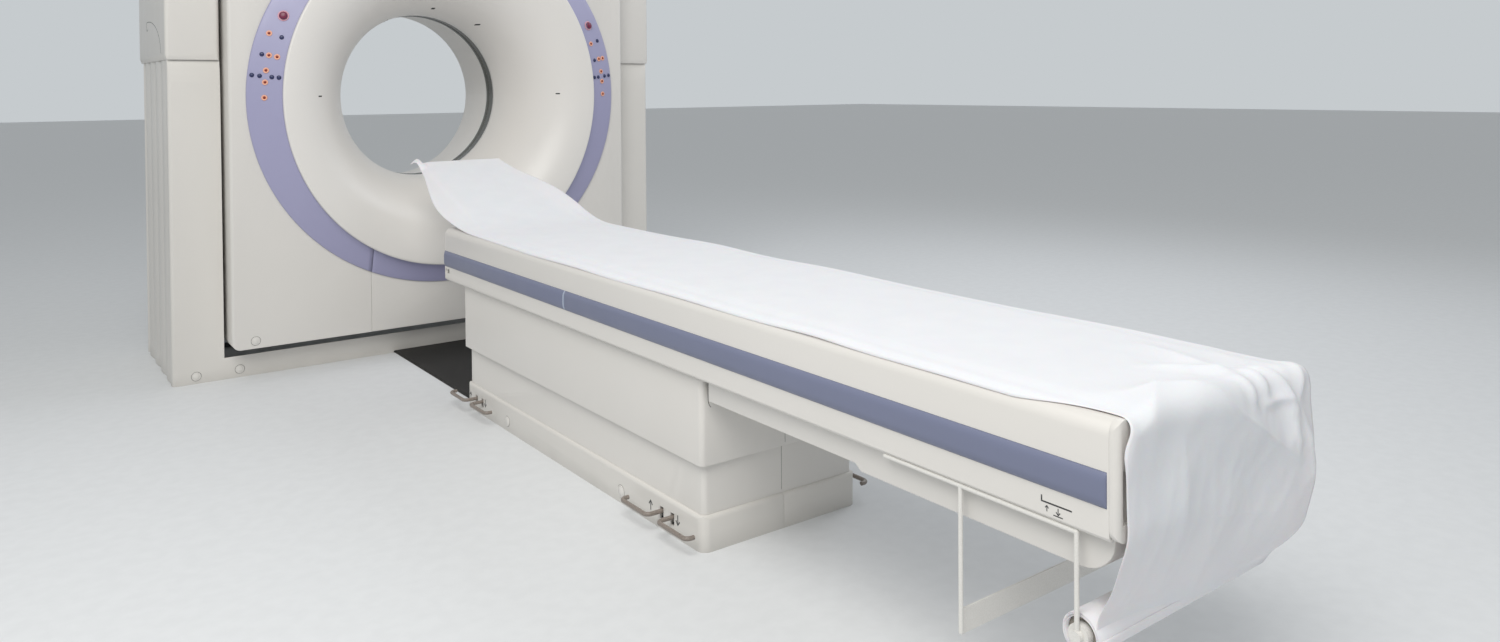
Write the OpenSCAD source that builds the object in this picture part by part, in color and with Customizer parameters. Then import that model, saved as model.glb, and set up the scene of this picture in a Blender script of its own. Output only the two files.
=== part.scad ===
// Tilting ring scanner with a lifting, sliding patient table.
// +Z is up, +Y runs from the table into the bore, +X is the right side seen from the table.
// The origin lies on the floor straight below the centre of the bore.

/* [Gantry stand] */
// Height of the bore axis above the floor
iso_z = 1050; // [1000:5:1100]
// Radius of the bore
bore_r = 350; // [330:5:360]
// Overall width of the gantry
gantry_w = 2012; // [1980:4:2080]
// Height of the side towers
tower_h = 1900; // [1860:5:1960]
// Width of each side tower
tower_w = 172; // [160:2:190]
// Front face of the towers ahead of the bore centre
stand_front = 300; // [280:5:310]
// Depth of the towers behind the bore centre
stand_back = 400; // [380:5:440]
// Height where the tower caps start
lip_z = 1190; // [1150:5:1240]
// How far the tower caps stand proud of the lower covers
lip_out = 7; // [3:1:12]
// Wall of the moulded covers
wall = 5; // [4:0.5:7]
// Height of the plinth under the tilting part
plinth_h = 80; // [60:1:82]
// Thickness of the column shoes
shoe_t = 20; // [12:1:22]
// Radius of the trunnion shafts
trunnion_r = 55; // [45:1:60]
// Spacing of the floor anchors across the gantry
anchor_x = 1830; // [1780:10:1850]
// Spacing of the floor anchors along the bore axis
anchor_y = 460; // [420:10:480]

/* [Tilting housing] */
// Front face of the tilting panel ahead of the bore centre
panel_front = 385; // [375:1:395]
// Back face of the tilting housing behind the bore centre
housing_back = 420; // [400:5:440]
// Gap between the tilting housing and each tower
side_gap = 8; // [5:1:12]
// Underside of the tilting panel above the floor
panel_z0 = 118; // [112:1:130]
// Top of the tilting housing above the floor
housing_top = 1880; // [1850:5:1900]
// Outer radius of the coloured ring
ring_r = 764; // [750:1:770]
// Inner radius of the coloured ring
ring_in_r = 640; // [630:1:644]
// Half width of the funnel's rim
rim_rx = 648; // [646:1:655]
// Half height of the funnel's rim
rim_rz = 690; // [680:1:700]
// Front of the funnel ahead of the bore centre
funnel_front = 447; // [444:1:455]
// Half width of the removable lower panel
seam_x = 319; // [300:1:330]
// Length of the scan window along the bore
window_len = 40; // [30:1:50]
// Radius at the back end of the bore liner
liner_back_r = 372; // [365:1:380]
// Largest radius of the rear funnel
rear_funnel_r = 520; // [480:5:560]

/* [Buttons] */
// Radius of the stop button's mushroom head
stop_r = 14; // [11:0.5:16]
// Radius of the stop button's stem
stem_r = 8; // [6:0.5:9]
// Radius of the lit keys
lit_key_r = 9; // [7:0.5:11]
// Radius of the dark keys
dark_key_r = 7; // [5:0.5:8]

/* [Rotor] */
// Outer radius of the rotating drum
drum_r = 735; // [720:1:738]
// Distance from the tube's focal spot to the bore axis
focus_r = 541; // [530:1:560]
// Distance from the focal spot to the detector face
detector_r = 949; // [930:1:960]
// Half of the fan angle
fan_half = 26; // [24:1:28]
// Radius of the main bearing
bearing_r = 470; // [460:1:480]

/* [Table] */
// Width of the table over its side panels
table_w = 524; // [500:2:560]
// Head end of the side panels in front of the bore centre
head_y = 1036; // [1000:2:1100]
// Foot end of the side panels in front of the bore centre
foot_y = 3685; // [3600:5:3750]
// Lower edge of the side panels
panel_low = 412; // [400:1:420]
// Height of the side panels' shoulders
shoulder_z = 592; // [585:1:600]
// Top of the pad at rest
pad_z = 596; // [594:1:606]
// Width of the base plinth
base_w = 480; // [460:2:500]
// Head end of the base in front of the bore centre
base_head = 1172; // [1150:2:1200]
// Foot end of the base in front of the bore centre
base_foot = 2590; // [2500:5:2700]
// Height of the base plinth
base_h = 85; // [75:1:95]
// Height where the upper pedestal cover starts
upper_z = 205; // [190:1:220]
// Width of the sliding tabletop
top_w = 392; // [380:2:400]
// Width of the paper
paper_w = 500; // [480:5:520]
// Slope of the head rest in degrees
ramp_deg = 15; // [12:0.5:16]
// Diameter of the pedal rods
pedal_d = 11; // [9:0.5:12]
// Radius of the paper roll
roll_r = 34; // [28:1:40]
// Width of the floor duct cover
duct_w = 410; // [380:5:420]

/* [Hidden] */
$fn = 96;
half_w = gantry_w / 2;
tower_in = half_w - tower_w;
house_x = tower_in - side_gap - 4;
swing_r = sqrt(pow(panel_front, 2) + pow(iso_z - panel_z0, 2));
swing_clear = 6;
ring_back = panel_front;
ring_edge = 8;
ring_slope = 0.34;
ring_t = 6;
shell_t = 5;
cover_mid = 60;
column_in = half_w - 156;
column_out = half_w - 81;
bearing_x0 = column_in + 10;
bearing_x1 = column_out - 5;
bearing_or = 85;
shaft_end = half_w - 26;
beams = [[-250, -190], [230, 300]];
fit = 0.05;
gap_seat = 0.3;
hub_back = 190;
rim_r = drum_r - 36;
key_h = 4;
frame_y0 = 120;
drum_y0 = 60;
drum_y1 = 85;
window_y = window_len / 2;
liner_end = 360;
top_z0 = 567;
pad_t = 8;
rail_z = top_z0 - gap_seat;
tab_head = head_y + 4;
tab_foot = foot_y - 15;
ramp_start = 1200;
ramp_end = 505;
ramp_k = tan(ramp_deg);
paper_t = 1.5;
half_table = table_w / 2;
half_base = base_w / 2;
cover_gap = 9;
column_y = [1500, 2260];
pedal_y = [1278, 2437];
pedal_pitch = 24;
pedal_z = 45;
pivot_x = half_base - 35;
roll_y = 3612;
roll_z = 250;
spindle_r = 18;
duct_t = 8;
lip_h = 8;
cover_top = upper_z + 191;

// Where the ring's conical face lies at radius r, as a distance in front of the bore centre
function ring_face(r) = ring_back + ring_edge + (ring_r - r) * ring_slope;
// Height of the head rest's paper at distance d in front of the bore centre
function ramp(d) = pad_z + (ramp_start - d) * ramp_k;
// Points of a circular arc
function arc(cx, cy, r, a0, a1, n) = [for (i = [0:n]) let (a = a0 + (a1 - a0) * i / n)
    [cx + r * cos(a), cy + r * sin(a)]];
// Radius of the funnel's oval rim at angle a
function rim_at(a) = rim_rx * rim_rz / sqrt(pow(rim_rz * cos(a), 2) + pow(rim_rx * sin(a), 2));

// A box given by its two opposite corners
module block(a, b) {
    translate([min(a[0], b[0]), min(a[1], b[1]), min(a[2], b[2])])
        cube([abs(b[0] - a[0]), abs(b[1] - a[1]), abs(b[2] - a[2])]);
}

// A rectangle given by two corners, with round corners
module round_rect(a, b, r) {
    x0 = a[0] + r;
    y0 = a[1] + r;
    x1 = b[0] - r;
    y1 = b[1] - r;
    polygon(concat(arc(x1, y1, r, 0, 90, 8), arc(x0, y1, r, 90, 180, 8),
        arc(x0, y0, r, 180, 270, 8), arc(x1, y0, r, 270, 360, 8)));
}

// Extrudes an outline drawn in X and Z along Y, from y0 to y1
module along_y(y0, y1) {
    translate([0, y1, 0]) rotate([90, 0, 0]) linear_extrude(y1 - y0) children();
}

// Extrudes an outline drawn in Y and Z along X, from x0 to x1
module along_x(x0, x1) {
    translate([x0, 0, 0]) rotate([90, 0, 90]) linear_extrude(x1 - x0) children();
}

// Revolves a profile of radius and distance in front of the bore centre about the bore axis
module about_bore() {
    translate([0, 0, iso_z]) rotate([90, 0, 0]) rotate_extrude() children();
}

module bore_cylinder(r, y0, y1) {
    translate([0, y1, iso_z]) rotate([90, 0, 0]) cylinder(r = r, h = y1 - y0);
}

module cross_cylinder(r, x0, x1, y, z) {
    translate([x0, y, z]) rotate([0, 90, 0]) cylinder(r = r, h = x1 - x0);
}

module both_sides() {
    children();
    mirror([1, 0, 0]) children();
}

// Plan of one side tower: flat at the front and inside, four soft flutes along the outside
function flute(t) = 8 * (1 - abs(sin(720 * t)));
function tower_plan(inset, flutes) = concat(
    [[tower_in + inset, -stand_front + 38], [tower_in + inset, stand_back - inset]],
    arc(half_w - 60, stand_back - 60, 60 - inset, 90, 10, 6),
    [for (i = [0:32]) let (t = i / 32) [half_w - inset - (flutes ? flute(t) : 8),
        stand_back - 62 - t * (stand_back + stand_front - 100)]]);

module stand_frame() {
    color("dimgray") difference() {
        union() {
            both_sides() {
                block([tower_in + wall, -270, 0], [half_w - 21, 330, shoe_t]);
                block([column_in, -110, shoe_t], [column_out, 110, iso_z]);
                cross_cylinder(110, column_in, column_out, 0, iso_z);
                along_x(column_in + 25, column_out - 25)
                    polygon([[-250, shoe_t], [-110, 620], [110, 620], [310, shoe_t]]);
            }
            for (b = beams)
                block([-tower_in - wall, b[0], 0], [tower_in + wall, b[1], shoe_t]);
        }
        both_sides() {
            cross_cylinder(bearing_or, column_in - 1, column_out + 1, 0, iso_z);
            for (s = [-1, 1])
                translate([anchor_x / 2, s * anchor_y / 2, -1]) cylinder(r = 9, h = 700);
            along_x(column_in - 1, column_out + 1) round_rect([-70, 120], [70, 860], 30);
        }
    }
}

module trunnion_bearings() {
    color("silver") both_sides() difference() {
        cross_cylinder(bearing_or, bearing_x0, bearing_x1, 0, iso_z);
        cross_cylinder(trunnion_r + fit, bearing_x0 - 1, bearing_x1 + 1, 0, iso_z);
    }
}

// Right-angle gear motor on the right trunnion
module tilt_drive() {
    motor_x = column_out + 28;
    color("slategray") difference() {
        union() {
            cross_cylinder(92, column_out, shaft_end - 4, 0, iso_z);
            translate([motor_x, 0, iso_z - 330]) cylinder(r = 24, h = 250);
            translate([motor_x, 0, iso_z - 380]) cylinder(r = 27, h = 130);
        }
        cross_cylinder(trunnion_r + 1, column_out - 1, shaft_end + 1, 0, iso_z);
    }
}

// The U-shaped front: both tower fronts and the low plinth between them in one moulding
module stand_front_cover() {
    lip_back = 10;
    color("#dedad6") difference() {
        intersection() {
            along_y(-stand_front, -stand_front + 38) union() {
                translate([-half_w, 0]) square([tower_w, lip_z - gap_seat]);
                translate([tower_in, 0]) square([tower_w, lip_z - gap_seat]);
                translate([-tower_in - 1, 0]) square([2 * tower_in + 2, plinth_h]);
            }
            linear_extrude(lip_z) round_rect([-half_w, -stand_front], [half_w, stand_front], 14);
            along_x(-half_w - 1, half_w + 1) polygon(concat(
                [[-stand_front + 40, 0], [-stand_front + 40, lip_z + 5]],
                [for (i = [0:8]) [-stand_front + lip_back * pow(1 - i / 8, 2), lip_z - gap_seat - i * 12]],
                [[-stand_front, 0]]));
        }
        both_sides() block([tower_in + wall, -stand_front + wall + 11, -1],
            [half_w - wall, -stand_front + 39, lip_z - 12]);
        block([-tower_in - 2, -stand_front + wall + 6, -1], [tower_in + 2, -stand_front + 39, plinth_h - 14]);
        cross_cylinder(swing_r + swing_clear, -tower_in, tower_in, 0, iso_z);
        along_y(-stand_front - 1, -stand_front + 40)
            round_rect([-duct_w / 2 - 4, -20], [duct_w / 2 + 4, duct_t + gap_seat], 8);
    }
}

module side_cover() {
    difference() {
        linear_extrude(lip_z - gap_seat) polygon(tower_plan(0, true));
        translate([0, 0, -1]) linear_extrude(lip_z + 1) polygon(tower_plan(wall, false));
        cross_cylinder(trunnion_r + 8, tower_in - 1, tower_in + wall + 8, 0, iso_z);
        for (b = beams)
            block([tower_in - 1, b[0] - 1, -1], [tower_in + wall + 1, b[1] + 1, shoe_t + 1]);
    }
}

module side_cover_left() {
    color("#d6d2cc") mirror([1, 0, 0]) side_cover();
}

module side_cover_right() {
    color("#d6d2cc") side_cover();
}

// The cap stands proud of the lower covers and its lower lip is chamfered
module tower_cap() {
    chamfer = 20;
    crown = 60;
    difference() {
        intersection() {
            linear_extrude(tower_h) round_rect([tower_in, -stand_front - lip_out],
                [half_w + lip_out, stand_back + lip_out], 18);
            along_x(tower_in, half_w + lip_out) polygon(concat(
                [[stand_back, lip_z], [stand_back + lip_out, lip_z + chamfer]],
                arc(stand_back + lip_out - crown, tower_h - crown, crown, 0, 90, 8),
                arc(-stand_front - lip_out + crown, tower_h - crown, crown, 90, 180, 8),
                [[-stand_front - lip_out, lip_z + chamfer], [-stand_front, lip_z]]));
            along_y(-stand_front - lip_out, stand_back + lip_out) polygon(concat(
                [[tower_in, lip_z], [half_w, lip_z], [half_w + lip_out, lip_z + chamfer]],
                arc(half_w + lip_out - crown, tower_h - crown, crown, 0, 90, 8),
                [[tower_in, tower_h]]));
        }
        block([tower_in + wall, -stand_front + wall, lip_z - 1],
            [half_w - wall - 6, stand_back - wall, tower_h - crown + 20]);
    }
}

module tower_cap_left() {
    color("#dedad6") mirror([1, 0, 0]) tower_cap();
}

module tower_cap_right() {
    color("#dedad6") tower_cap();
}

module floor_duct_cover() {
    color("#2c2b2a") along_y(-base_head, -stand_front + 20)
        polygon([[-duct_w / 2, 0], [duct_w / 2, 0], [duct_w / 2 - 6, duct_t], [-duct_w / 2 + 6, duct_t]]);
}

// Shared outline of the tilting housing, grown inwards by inset
module housing_prism(inset, y0, y1) {
    intersection() {
        along_y(y0, y1) round_rect([-house_x + inset, panel_z0 + inset],
            [house_x - inset, housing_top - inset], 30 - inset);
        cross_cylinder(swing_r - inset, -house_x, house_x, 0, iso_z);
    }
}

module tilt_frame() {
    arm_in = house_x - 62;
    arm_h = 140;
    color("lightslategray") difference() {
        union() {
            bore_cylinder(drum_r + 25, frame_y0, hub_back);
            both_sides() {
                block([600, frame_y0, iso_z - arm_h], [house_x - wall, hub_back, iso_z + arm_h]);
                block([arm_in, -cover_mid, iso_z - arm_h], [house_x - wall, hub_back, iso_z + arm_h]);
                cross_cylinder(trunnion_r, house_x - wall - 1, shaft_end, 0, iso_z);
                cross_cylinder(trunnion_r + 30, arm_in - 10, house_x - wall, 0, iso_z);
            }
            bore_cylinder(bearing_r + 50, frame_y0 - 10, hub_back + 10);
        }
        bore_cylinder(bearing_r, frame_y0 - 11, hub_back + 11);
        for (a = [0:30:330])
            rotate_at_bore(a) translate([620, 0, 0]) lighten();
    }
}

module rotate_at_bore(a) {
    translate([0, 0, iso_z]) rotate([0, -a, 0]) children();
}

module lighten() {
    translate([0, hub_back + 1, 0]) rotate([90, 0, 0]) cylinder(r = 60, h = hub_back - frame_y0 + 2);
}

// Ring motor: the fixed windings round the drum's magnet rim
module drive_stator() {
    color("peru") difference() {
        bore_cylinder(drum_r + 20, frame_y0 - 25, frame_y0);
        bore_cylinder(rim_r + 3, frame_y0 - 26, frame_y0 + 1);
    }
}

module front_shell() {
    difference() {
        intersection() {
            housing_prism(0, -panel_front, -cover_mid);
            linear_extrude(housing_top) round_rect([-house_x, -panel_front], [house_x, 0], 12);
            along_x(-house_x, house_x) round_rect([-panel_front, 0], [0, housing_top], 12);
        }
        housing_prism(wall, -panel_front + 6, -cover_mid + 1);
        bore_cylinder(ring_r - 20, -panel_front - 1, -panel_front + 20);
    }
}

module lower_zone(grow) {
    block([-seam_x - grow, -panel_front - 60, 0], [seam_x + grow, -cover_mid - 100, iso_z - 400]);
}

module front_cover() {
    color("#dedad6") difference() {
        front_shell();
        lower_zone(1);
    }
}

module front_cover_lower() {
    color("#dedad6") intersection() {
        front_shell();
        lower_zone(0);
    }
}

module ring_shell() {
    difference() {
        about_bore() polygon([[ring_r, ring_back], [ring_r, ring_back + ring_edge - 2],
            [ring_r - 3, ring_face(ring_r - 3)], [ring_in_r, ring_face(ring_in_r)],
            [ring_in_r, ring_face(ring_in_r) - ring_t], [ring_r - 20, ring_back]]);
        both_sides() at_ring(stop_pos) translate([0, 0, -30]) cylinder(r = stem_r + fit, h = 60);
    }
}

module ring_trim() {
    color("#8a8db5") difference() {
        ring_shell();
        lower_zone(1);
    }
}

module ring_trim_lower() {
    color("#8a8db5") intersection() {
        ring_shell();
        lower_zone(0);
    }
}

// Funnel shell, lofted from the tall oval rim to the round bore along a quarter of an ellipse
funnel_n = 72;
funnel_m = 12;
lip_r = 7;
function sweep_deg(j) = 90 * (j - 3) / (funnel_m - 3);
function sweep(j, rr) = let (a = sweep_deg(j))
    [rr - lip_r - (rr - lip_r - bore_r) * sin(a), -(window_y + (funnel_front - window_y) * cos(a))];
function funnel_outer(a, j) = let (rr = rim_at(a))
    j < 0 ? [rr, -(ring_face(rr) + gap_seat)]
    : j < 3 ? [rr - lip_r * (1 - cos(j * 30)), -(funnel_front - lip_r + lip_r * sin(j * 30))]
    : sweep(j, rr);
function funnel_inner(a, j) = let (rr = rim_at(a), r0 = rr - lip_r)
    j < 0 ? [r0, -(ring_face(r0) + gap_seat)]
    : sweep(j, rr) + shell_t * [sin(sweep_deg(j)), cos(sweep_deg(j))];
function spin(p, a) = [p[0] * cos(a), p[1], iso_z + p[0] * sin(a)];

module front_funnel() {
    m = funnel_m;
    rows = concat([for (j = [-1:m]) [for (i = [0:funnel_n - 1]) let (a = 360 * i / funnel_n)
            spin(funnel_outer(a, j), a)]],
        [for (j = [m:-1:3]) [for (i = [0:funnel_n - 1]) let (a = 360 * i / funnel_n)
            spin(funnel_inner(a, j), a)]],
        [[for (i = [0:funnel_n - 1]) let (a = 360 * i / funnel_n) spin(funnel_inner(a, -1), a)]]);
    k = len(rows);
    pts = [for (r = rows) each r];
    faces = [for (j = [0:k - 1]) for (i = [0:funnel_n - 1])
        let (i2 = (i + 1) % funnel_n, j2 = (j + 1) % k)
        [j * funnel_n + i, j * funnel_n + i2, j2 * funnel_n + i2, j2 * funnel_n + i]];
    color("#e3e0db") polyhedron(points = pts, faces = faces, convexity = 6);
}

module scan_window() {
    color("#4a4a42") difference() {
        bore_cylinder(bore_r + shell_t, -window_y, window_y);
        bore_cylinder(bore_r, -window_y - 1, window_y + 1);
    }
}

module bore_liner() {
    color("#e3e0db") about_bore() polygon([[bore_r, -window_y], [liner_back_r, -liner_end],
        [liner_back_r + shell_t, -liner_end], [bore_r + shell_t, -window_y]]);
}

module rear_cover() {
    mouth = 14;
    color("#dedad6") union() {
        difference() {
            intersection() {
                housing_prism(0, cover_mid, housing_back);
                linear_extrude(housing_top) round_rect([-house_x, 0], [house_x, housing_back], 24);
                along_x(-house_x, house_x) round_rect([0, 0], [housing_back, housing_top], 24);
            }
            housing_prism(wall, cover_mid - 1, housing_back - 6);
            bore_cylinder(rear_funnel_r - 2, housing_back - 20, housing_back + 1);
        }
        about_bore() polygon(concat([[liner_back_r, -liner_end]],
            [for (i = [1:8]) [liner_back_r + (rear_funnel_r - liner_back_r) * (1 - cos(i * 11.25)),
                -liner_end - (housing_back - liner_end) * sin(i * 11.25)]],
            [[rear_funnel_r, -housing_back + 6]],
            [for (i = [7:-1:1]) [liner_back_r + (rear_funnel_r - liner_back_r) * (1 - cos(i * 11.25)) + 4,
                -liner_end - (housing_back - liner_end) * sin(i * 11.25) + 5]],
            [[liner_back_r + shell_t, -liner_end]]));
    }
}

// Closing strips over and under the frame, between the front and rear covers
module middle_covers() {
    color("#d6d2cc") {
        block([-house_x, -cover_mid, housing_top - 6], [house_x, cover_mid, housing_top]);
        block([-house_x, -cover_mid, panel_z0], [house_x, cover_mid, panel_z0 + 6]);
    }
}

// Key positions on the ring as offset from the bore axis and height over it
stop_pos = [636, 304];
both_lit = [[688, 156], [699, 100], [703, 56], [706, -1]];
left_lit = [[685, 238], [662, 150]];
left_dark = [[645, 223], [711, 160]];
right_lit = [[645, 223], [711, 160]];
right_dark = [[685, 238], [662, 150]];
both_dark = [[658, 73], [681, 75], [720, 80], [745, 83]];

// Places its children on the ring's face at p, standing square to it
module at_ring(p) {
    r = norm(p);
    translate([0, 0, iso_z]) rotate([0, -atan2(p[1], p[0]), 0])
        translate([r, -ring_face(r), 0]) rotate([0, 0, atan(ring_slope)]) rotate([90, 0, 0]) children();
}

module ring_keys(lit, dark) {
    for (p = concat(both_lit, lit))
        at_ring(p) cylinder(r = lit_key_r, h = key_h);
    for (p = concat(both_dark, dark))
        at_ring(p) cylinder(r = dark_key_r, h = key_h + 1);
}

module ring_keys_left() {
    color("#8a2a14") mirror([1, 0, 0]) ring_keys(left_lit, left_dark);
}

module ring_keys_right() {
    color("#8a2a14") ring_keys(right_lit, right_dark);
}

// Mushroom button: the stem runs in the ring and the head stands clear of it
module stop_button() {
    at_ring(stop_pos) union() {
        translate([0, 0, -16]) cylinder(r = stem_r, h = 22);
        translate([0, 0, 5]) cylinder(r1 = stop_r - 2, r2 = stop_r, h = 3);
        translate([0, 0, 8]) cylinder(r1 = stop_r, r2 = stop_r - 4, h = 5);
    }
}

module stop_left() {
    color("#7a2440") mirror([1, 0, 0]) stop_button();
}

module stop_right() {
    color("#7a2440") stop_button();
}

module rotor_drum() {
    color("gainsboro") difference() {
        union() {
            bore_cylinder(drum_r, drum_y0, drum_y1);
            bore_cylinder(bearing_r - fit, drum_y1 - 1, hub_back);
            difference() {
                bore_cylinder(rim_r, drum_y1 - 1, frame_y0 - 3);
                bore_cylinder(rim_r - 49, drum_y1, frame_y0 - 2);
            }
        }
        bore_cylinder(415, drum_y0 - 1, hub_back + 1);
    }
}

// Tube housing with its round ends, lying along the bore axis above the bore
module xray_tube() {
    color("#b8bcc0") union() {
        translate([0, 55, iso_z + focus_r + 35]) rotate([90, 0, 0]) cylinder(r = 95, h = 190);
        translate([0, -135, iso_z + focus_r + 35]) rotate([90, 0, 0]) cylinder(r = 60, h = 40);
        block([-110, 40, iso_z + focus_r - 50], [110, drum_y0, iso_z + focus_r + 130]);
    }
}

module collimator() {
    color("#6e7276") along_y(-70, drum_y0)
        polygon([[-60, iso_z + focus_r - 60], [60, iso_z + focus_r - 60],
            [120, iso_z + 400], [-120, iso_z + 400]]);
}

// Detector modules on an arc about the focal spot
module detector_arc() {
    color("#50545a") translate([0, drum_y0, iso_z + focus_r]) rotate([90, 0, 0])
        linear_extrude(drum_y0 + 70) polygon(concat(
            arc(0, 0, detector_r, 270 - fan_half, 270 + fan_half, 26),
            arc(0, 0, detector_r + 70, 270 + fan_half, 270 - fan_half, 26)));
}

module power_units() {
    color("#9aa0a6") both_sides() {
        block([450, -120, iso_z - 90], [650, drum_y0, iso_z + 240]);
        block([430, -60, iso_z - 330], [600, drum_y0, iso_z - 110]);
    }
}

module slip_ring() {
    color("goldenrod") difference() {
        bore_cylinder(bearing_r + 130, drum_y1, drum_y1 + 18);
        bore_cylinder(bearing_r + 70, drum_y1 - 1, drum_y1 + 19);
    }
}

module table_base_plate() {
    color("dimgray") difference() {
        union() {
            linear_extrude(20) round_rect([-half_base + wall, -base_foot + wall],
                [half_base - wall, -base_head - wall], 19);
            for (y = pedal_y, s = [-1, 1], m = [-1, 1])
                pedal_lug(m, -y + s * pedal_pitch);
        }
        for (x = [-1, 1], y = [base_head + 80, base_foot - 80])
            translate([x * (half_base - 60), -y, -1]) cylinder(r = 7, h = 30);
    }
}

// Bracket and pin that a pedal turns on
module pedal_lug(m, y) {
    block([m * (pivot_x - 9), y + 9, 19], [m * (pivot_x + 9), y + 15, pedal_z + 10]);
    translate([m * pivot_x, y + 10, pedal_z]) rotate([90, 0, 0]) cylinder(r = 5 - fit, h = 20);
}

// Two moulded halves that meet on the centre line
module table_plinth() {
    edge = 12;
    color("#dedad6") difference() {
        intersection() {
            linear_extrude(base_h) round_rect([-half_base, -base_foot], [half_base, -base_head], 24);
            along_x(-half_base, half_base) round_rect([-base_foot, -40], [-base_head, base_h], edge);
            along_y(-base_foot, -base_head) round_rect([-half_base, -40], [half_base, base_h], edge);
        }
        translate([0, 0, -1]) linear_extrude(base_h - lip_h + 1)
            round_rect([-half_base + wall, -base_foot + wall], [half_base - wall, -base_head - wall], 19);
        pedestal_hole(cover_gap - gap_seat, -1, base_h + 1);
        block([-0.5, -base_foot - 1, -1], [0.5, -base_head + 1, base_h + 1]);
        for (y = pedal_y, s = [-1, 1], m = [-1, 1])
            block([m * (half_base - wall - 1), -y + s * pedal_pitch - 8, pedal_z - 20],
                [m * (half_base + 1), -y + s * pedal_pitch + 8, pedal_z + 10]);
    }
}

// Solid outline of the pedestal, set in from the plinth's sides by inset
module pedestal_hole(inset, z0, z1) {
    translate([0, 0, z0]) linear_extrude(z1 - z0)
        round_rect([-half_base + inset, -base_foot + inset], [half_base - inset, -base_head - inset], 14);
}

// A hollow moulded shell of wall t, with an inner lip of depth lip between lip_z0 and lip_z1
module pedestal_shell(inset, z0, z1, t, lip, lip_z0, lip_z1) {
    difference() {
        pedestal_hole(inset, z0, z1);
        pedestal_hole(inset + t + lip, z0 - 1, z1 + 1);
        pedestal_hole(inset + t, lip_z0 > z0 ? z0 - 1 : lip_z1, lip_z0 > z0 ? lip_z0 : z1 + 1);
    }
}

// The lower telescoping shell, notched at its foot where the pedal rods pass
module lift_cover_low() {
    color("#dedad6") difference() {
        pedestal_shell(cover_gap, 26, cover_top, 4, cover_gap - 4 - gap_seat, cover_top - lip_h, cover_top);
        for (y = pedal_y, s = [-1, 1], m = [-1, 1])
            block([m * (half_base - 2 * cover_gap), -y + s * pedal_pitch - 9, 25],
                [m * half_base, -y + s * pedal_pitch + 9, pedal_z + 8]);
    }
}

module lift_cover_high() {
    high_z0 = pedal_z + 17;
    color("#d6d2cc") pedestal_shell(2 * cover_gap, high_z0, cover_top, 4, 0, high_z0, high_z0);
}

// Both columns' tubes of one stage; each stage runs in the one outside it
tube_t = 8;
tube_r = [for (i = [0:3]) 75 - i * (tube_t + fit)];
module column_tube(r, z0, z1) {
    for (y = column_y)
        translate([0, -y, z0]) difference() {
            cylinder(r = r, h = z1 - z0);
            translate([0, 0, -1]) cylinder(r = r - tube_t, h = z1 - z0 + 2);
        }
}

module lift_column_outer() {
    color("slategray") column_tube(tube_r[0], 20, 270);
}

module column_stage_low() {
    color("silver") column_tube(tube_r[1], 30, 285);
}

module column_stage_high() {
    color("silver") column_tube(tube_r[2], 40, 300);
}

module table_frame() {
    color("dimgray") union() {
        difference() {
            block([-150, -foot_y + 45, panel_low + 18], [150, -head_y - 44, rail_z - 26]);
            block([-140, -foot_y + 44, panel_low + 26], [140, -head_y - 43, rail_z - 34]);
        }
        for (s = [-1, 1])
            block([s * 100, -foot_y + 45, rail_z - 27], [s * 140, -head_y - 44, rail_z]);
        for (y = [head_y + 80, (head_y + foot_y) / 2, foot_y - 80])
            block([-half_table + wall, -y - 20, panel_low + wall],
                [half_table - wall, -y + 20, panel_low + 19]);
        column_tube(tube_r[3], 50, panel_low + 19);
    }
}

// Upper pedestal cover: its top plate closes the underside and carries the side panels
module upper_cover() {
    grow = 6;
    color("#dedad6") union() {
        pedestal_shell(-grow, upper_z, panel_low, wall, grow + cover_gap - wall - gap_seat,
            upper_z, upper_z + lip_h);
        difference() {
            translate([0, 0, panel_low - wall]) linear_extrude(wall)
                round_rect([-half_base - grow + 3, -base_foot - grow + 3],
                    [half_base + grow - 3, -head_y - 14], 12);
            for (y = column_y)
                translate([0, -y, panel_low - wall - 1]) cylinder(r = tube_r[2] + 4, h = wall + 2);
        }
    }
}

// Outline of a side panel in X and Z: flat face, round shoulder and short flanges
function panel_outline() = concat(
    [[half_table - 30, panel_low], [half_table - 6, panel_low], [half_table, panel_low + 6]],
    arc(half_table - 26, shoulder_z - 26, 26, 0, 90, 8),
    [[top_w / 2 + 4, shoulder_z], [top_w / 2 + 4, shoulder_z - 5]],
    arc(half_table - 26, shoulder_z - 26, 21, 90, 0, 8),
    [[half_table - wall, panel_low + wall], [half_table - 30, panel_low + wall]]);

module side_panel() {
    difference() {
        along_y(-foot_y + 14, -head_y) polygon(panel_outline());
        block([half_table - 8, -head_y - 40, panel_low + 26], [half_table + 1, -head_y - 2, panel_low + 41]);
    }
}

module side_panel_left() {
    color("#dedad6") mirror([1, 0, 0]) side_panel();
}

module side_panel_right() {
    color("#dedad6") side_panel();
}

// Coloured bumper strips with a joint near the head end
module stripe_trims() {
    joint_y = 1951;
    z0 = 461;
    z1 = 515;
    color("#767a9c") both_sides() {
        for (span = [[foot_y - 17, joint_y + 1], [joint_y - 1, head_y + 2]])
            along_y(-span[0], -span[1]) polygon([[half_table, z0], [half_table + 4, z0 + 4],
                [half_table + 5, z0 + 10], [half_table + 5, z1 - 10], [half_table + 4, z1 - 4],
                [half_table, z1]]);
    }
}

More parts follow.
